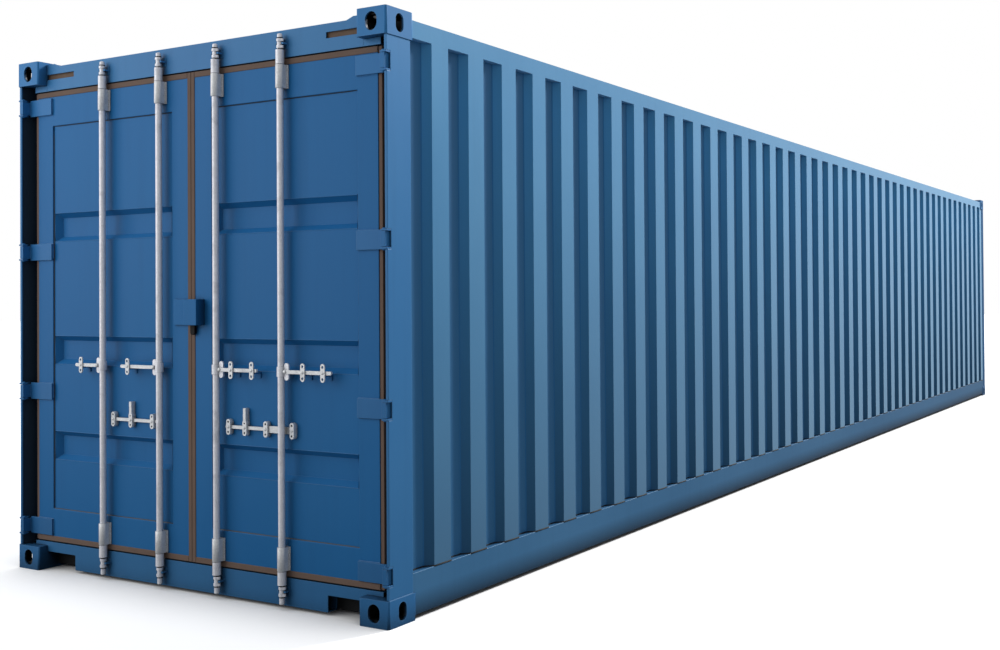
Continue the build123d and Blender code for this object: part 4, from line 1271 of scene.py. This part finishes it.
@dataclass
class LockingBar:
    """Small fittings of one locking bar: stem collars, pivot rivet and rivets on its handle's tags."""

    name: str
    side: int
    place: float
    tags: tuple[float, ...]
    depth: float = 26.0
    stem_radius: float = 12.0
    collar_radius: float = 14.0
    collar_height: float = 4.0
    collar_edge: float = 1.0
    collar_sink: float = 0.5
    collar_levels: tuple[float, ...] = (57.0, 107.0, 2475.0, 2526.0)
    handle_level: float = 1050.0
    pivot_reach: float = 32.0
    pivot_head: float = 9.0
    pivot_rise: float = 5.0
    arm_front: float = 14.0
    tag_front: float = 8.0
    tag_head: float = 6.5
    tag_rise: float = 4.0

    def build(self, shop: Workshop) -> None:
        """Draw the fittings of this bar and of its handle.

        Args:
            shop: Workshop that makes and dresses the pieces.
        """
        shop.add(f"{self.name}_collars", f"{self.name}_bar", "lock_steel", Coat.BLACKING, self._collars)
        shop.add(f"{self.name}_pivot_rivet", f"{self.name}_bar", "gear_zinc", Coat.ZINC_GEAR, self._pivot)
        shop.add(f"{self.name}_tag_rivets", f"{self.name}_handle", "gear_zinc", Coat.ZINC_GEAR, self._rivets)

    def _collars(self, work: bmesh.types.BMesh) -> None:
        """Dark greased collars beside the cams.

        Args:
            work: Mesh to draw in.
        """
        x, y = self.side * self.place, self.depth - HALF_LENGTH
        core, rim, half = self.stem_radius - self.collar_sink, self.collar_radius, self.collar_height / 2
        lower = [(core, -half), (rim - self.collar_edge, -half), (rim, -half + self.collar_edge)]
        profile = lower + [(radius, -rise) for radius, rise in reversed(lower)]
        for level in self.collar_levels:
            draw_turned(work, (x, y, level), UP, profile, sides=20)

    def _pivot(self, work: bmesh.types.BMesh) -> None:
        """Domed head of the pin that the handle turns on."""
        place = (self.side * (self.place + self.pivot_reach), self.arm_front - HALF_LENGTH, self.handle_level)
        draw_turned(work, place, OUTWARD, rivet_profile(self.pivot_head, self.pivot_rise))

    def _rivets(self, work: bmesh.types.BMesh) -> None:
        """Domed heads that hold the tags to the arm.

        Args:
            work: Mesh to draw in.
        """
        for tag in self.tags:
            place = (self.side * (self.place + tag), self.tag_front - HALF_LENGTH, self.handle_level)
            draw_turned(work, place, OUTWARD, rivet_profile(self.tag_head, self.tag_rise))


@dataclass
class SealBar:
    """Rivets on the lugs of one door's lower seal bar."""

    side: int
    name: str
    lugs: tuple[float, ...]
    level: float = 788.0
    front: float = 40.0
    head: float = 6.5
    rise: float = 4.0

    def build(self, shop: Workshop) -> None:
        """Draw the rivets."""
        shop.add(f"{self.name}_seal_rivets", f"{self.name}_door", "gear_zinc", Coat.ZINC_GEAR, self._rivets)

    def _rivets(self, work: bmesh.types.BMesh) -> None:
        """A domed head in the middle of each lug.

        Args:
            work: Mesh to draw in.
        """
        for lug in self.lugs:
            place = (self.side * lug, self.front - HALF_LENGTH, self.level)
            draw_turned(work, place, OUTWARD, rivet_profile(self.head, self.rise))


@dataclass
class Deck:
    """Screws that hold the timber floor to the cross members."""

    top: float = 172.0
    members: int = 27
    start: float = 162.0
    end: float = 110.0
    flange: float = 45.0
    half_width: float = 1100.0
    rows: int = 9
    head: float = 7.0
    sink: float = 0.5
    rim: float = 0.3
    rise: float = 0.8
    edge: float = 1.0
    # The drive in the head: its share of the head's radius and the height of its foot
    drive_share: float = 0.45
    drive_foot: float = 0.1

    def build(self, shop: Workshop) -> None:
        """Draw the screws."""
        shop.add("deck_screws", "shell", "bar_zinc", Coat.ZINC_BAR, self._screws)

    def _screws(self, work: bmesh.types.BMesh) -> None:
        """Countersunk heads, a row over each cross member.

        Args:
            work: Mesh to draw in.
        """
        pitch = (2 * HALF_LENGTH - self.start - self.end) / (self.members + 1)
        profile = [
            (self.head, -self.sink),
            (self.head, self.rim),
            (self.head - self.edge, self.rise),
            (self.head * self.drive_share, self.rise),
            (0.0, self.drive_foot),
        ]
        for index in range(self.members):
            y = self.start - HALF_LENGTH + (index + 1) * pitch + self.flange / 2
            for row in range(self.rows):
                x = self.half_width * (2 * row / (self.rows - 1) - 1)
                draw_turned(work, (x, y, self.top), UP, profile, sides=10)


@dataclass
class PhotoCamera:
    """The photograph's viewpoint, fitted to the container's corners."""

    place: Point = (4.347, -9.819, 1.382)
    tilt_deg: float = 0.66
    roll_deg: float = -0.43
    turn_deg: float = 28.89
    focal_px: float = 1153.5
    frame_px: tuple[float, float] = (1000.0, 650.0)
    centre_px: tuple[float, float] = (614.4, 280.6)
    sensor_mm: float = 36.0
    clip_end: float = 200.0

    def build(self) -> None:
        """Create the camera and make it the scene's own."""
        data = bpy.data.cameras.new("photo_camera")
        wide, high = self.frame_px
        data.sensor_fit = "HORIZONTAL"
        data.sensor_width = self.sensor_mm
        data.lens = self.sensor_mm * self.focal_px / wide
        data.shift_x = (wide / 2 - self.centre_px[0]) / wide
        data.shift_y = (self.centre_px[1] - high / 2) / wide
        data.clip_end = self.clip_end
        camera = put("photo_camera", data)
        camera.location = self.place
        turn = Matrix.Rotation(math.radians(self.turn_deg), 3, "Z")
        tilt = Matrix.Rotation(math.radians(90.0 + self.tilt_deg), 3, "X")
        roll = Matrix.Rotation(math.radians(self.roll_deg), 3, "Z")
        camera.rotation_euler = (turn @ tilt @ roll).to_euler()
        bpy.context.scene.camera = camera


@dataclass
class Studio:
    """Pale floor, white surround, a soft key from behind on the right and a soft lamp on the doors."""

    floor_half: float = 60.0
    floor_colour: str = "#e6e6e6"
    # What the floor throws back on the object
    floor_bounce: str = "#808080"
    floor_glow: float = 0.62
    # The floor's shadow, partly painted, where its glow fades near the object: how far it reaches, and the share of
    # open sky where it is deepest and where it ends
    shade_reach: float = 0.7
    shade_deep: float = 0.36
    shade_end: float = 0.82
    shade_rays: int = 8
    sky_colour: str = "#f4f7fb"
    sky_strength: float = 0.42
    white: str = "#ffffff"
    key_strength: float = 5.0
    key_angle_deg: float = 12.0
    key_towards: Point = (0.27, 0.80, 0.53)
    lamp_place: Point = (-4.6, -11.0, 3.4)
    lamp_aim: Point = (-0.2, -6.0, 1.5)
    lamp_size: float = 7.0
    lamp_power: float = 315.0

    def build(self) -> None:
        """Create the floor, the world and the lamps."""
        bpy.context.scene.view_settings.view_transform = "Standard"
        self._world()
        self._floor()
        self._lamps()

    def _world(self) -> None:
        """White to the eye and in reflections, softer as a light."""
        world = bpy.data.worlds.new("white_surround")
        bpy.context.scene.world = world
        tree = blank_tree(world)
        path = add_node(tree, "LightPath")
        shown = path.outputs["Is Camera Ray"]
        for ray in ("Is Glossy Ray", "Is Transmission Ray"):
            rays = {0: shown, 1: path.outputs[ray]}
            shown = add_node(tree, "Math", {"operation": "MAXIMUM"}, links=rays).outputs[0]
        light = add_node(tree, "Background", values={"Color": linear(self.sky_colour), "Strength": self.sky_strength})
        seen = add_node(tree, "Background", values={"Color": linear(self.white), "Strength": 1.0})
        mix = add_node(tree, "MixShader", links={0: shown, 1: light.outputs[0], 2: seen.outputs[0]})
        add_node(tree, "OutputWorld", links={"Surface": mix.outputs[0]})

    def _floor(self) -> None:
        """A wide pale floor that keeps the object's shadow, with a glow that fades near the object as painted shadow.
        """
        mesh = bpy.data.meshes.new("studio_floor")
        half = self.floor_half
        mesh.from_pydata([(-half, -half, 0), (half, -half, 0), (half, half, 0), (-half, half, 0)], [], [(0, 1, 2, 3)])
        floor = put("studio_floor", mesh)
        material = bpy.data.materials.new("white_painted_studio_floor")
        tree = blank_tree(material)
        path = add_node(tree, "LightPath")
        pale = add_node(tree, "BsdfDiffuse", values={"Color": linear(self.floor_colour)})
        # Painted shadow: the glow fades where the object hides the sky
        shelter = add_node(tree, "AmbientOcclusion", {"samples": self.shade_rays}, {"Distance": self.shade_reach})
        limits = {"From Min": self.shade_deep, "From Max": self.shade_end, "To Max": self.floor_glow}
        open_share = add_node(tree, "MapRange", values=limits, links={"Value": shelter.outputs["AO"]})
        glow = add_node(
            tree, "Emission", values={"Color": linear(self.white)}, links={"Strength": open_share.outputs["Result"]}
        )
        lifted = add_node(tree, "AddShader", links={0: pale.outputs[0], 1: glow.outputs[0]})
        dull = add_node(tree, "BsdfDiffuse", values={"Color": linear(self.floor_bounce)})
        faces = {0: path.outputs["Is Camera Ray"], 1: dull.outputs[0], 2: lifted.outputs[0]}
        mix = add_node(tree, "MixShader", links=faces)
        add_node(tree, "OutputMaterial", links={"Surface": mix.outputs[0]})
        mesh.materials.append(material)

    def _lamps(self) -> None:
        """Soft distant key over the right-hand wall, and a square lamp in front of the doors, on the left."""
        data = bpy.data.lights.new("key", "SUN")
        data.energy = self.key_strength
        data.angle = math.radians(self.key_angle_deg)
        key = put("key", data)
        key.rotation_euler = (-Vector(self.key_towards)).to_track_quat("-Z", "Y").to_euler()
        data = bpy.data.lights.new("door_lamp", "AREA")
        data.energy = self.lamp_power
        data.shape = "SQUARE"
        data.size = self.lamp_size
        lamp = put("door_lamp", data)
        lamp.location = self.lamp_place
        lamp.rotation_euler = (Vector(self.lamp_aim) - Vector(self.lamp_place)).to_track_quat("-Z", "Y").to_euler()


def main() -> None:
    """Build the classes in order."""
    logging.basicConfig(level=logging.INFO, format="%(name)s: %(message)s")
    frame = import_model()
    shop = Workshop(frame)
    shop.dress_nodes()
    ShellFrame().build(shop)
    Deck().build(shop)
    for side, name in SIDES:
        HingeLine(side, name).build(shop)
        DoorLeaf(side, name).build(shop)
    LockHood().build(shop)
    LockingBar("left_outer", -1, 595.0, (144.0,)).build(shop)
    LockingBar("left_inner", -1, 190.0, (206.0,)).build(shop)
    LockingBar("right_inner", 1, 190.0, (110.0, 240.0)).build(shop)
    LockingBar("right_outer", 1, 595.0, (142.0, 258.0)).build(shop)
    SealBar(-1, "left", (262.0, 414.0, 540.0)).build(shop)
    SealBar(1, "right", (250.0, 353.0, 483.0, 642.0)).build(shop)
    PhotoCamera().build()
    Studio().build()


if __name__ == "__main__":
    main()
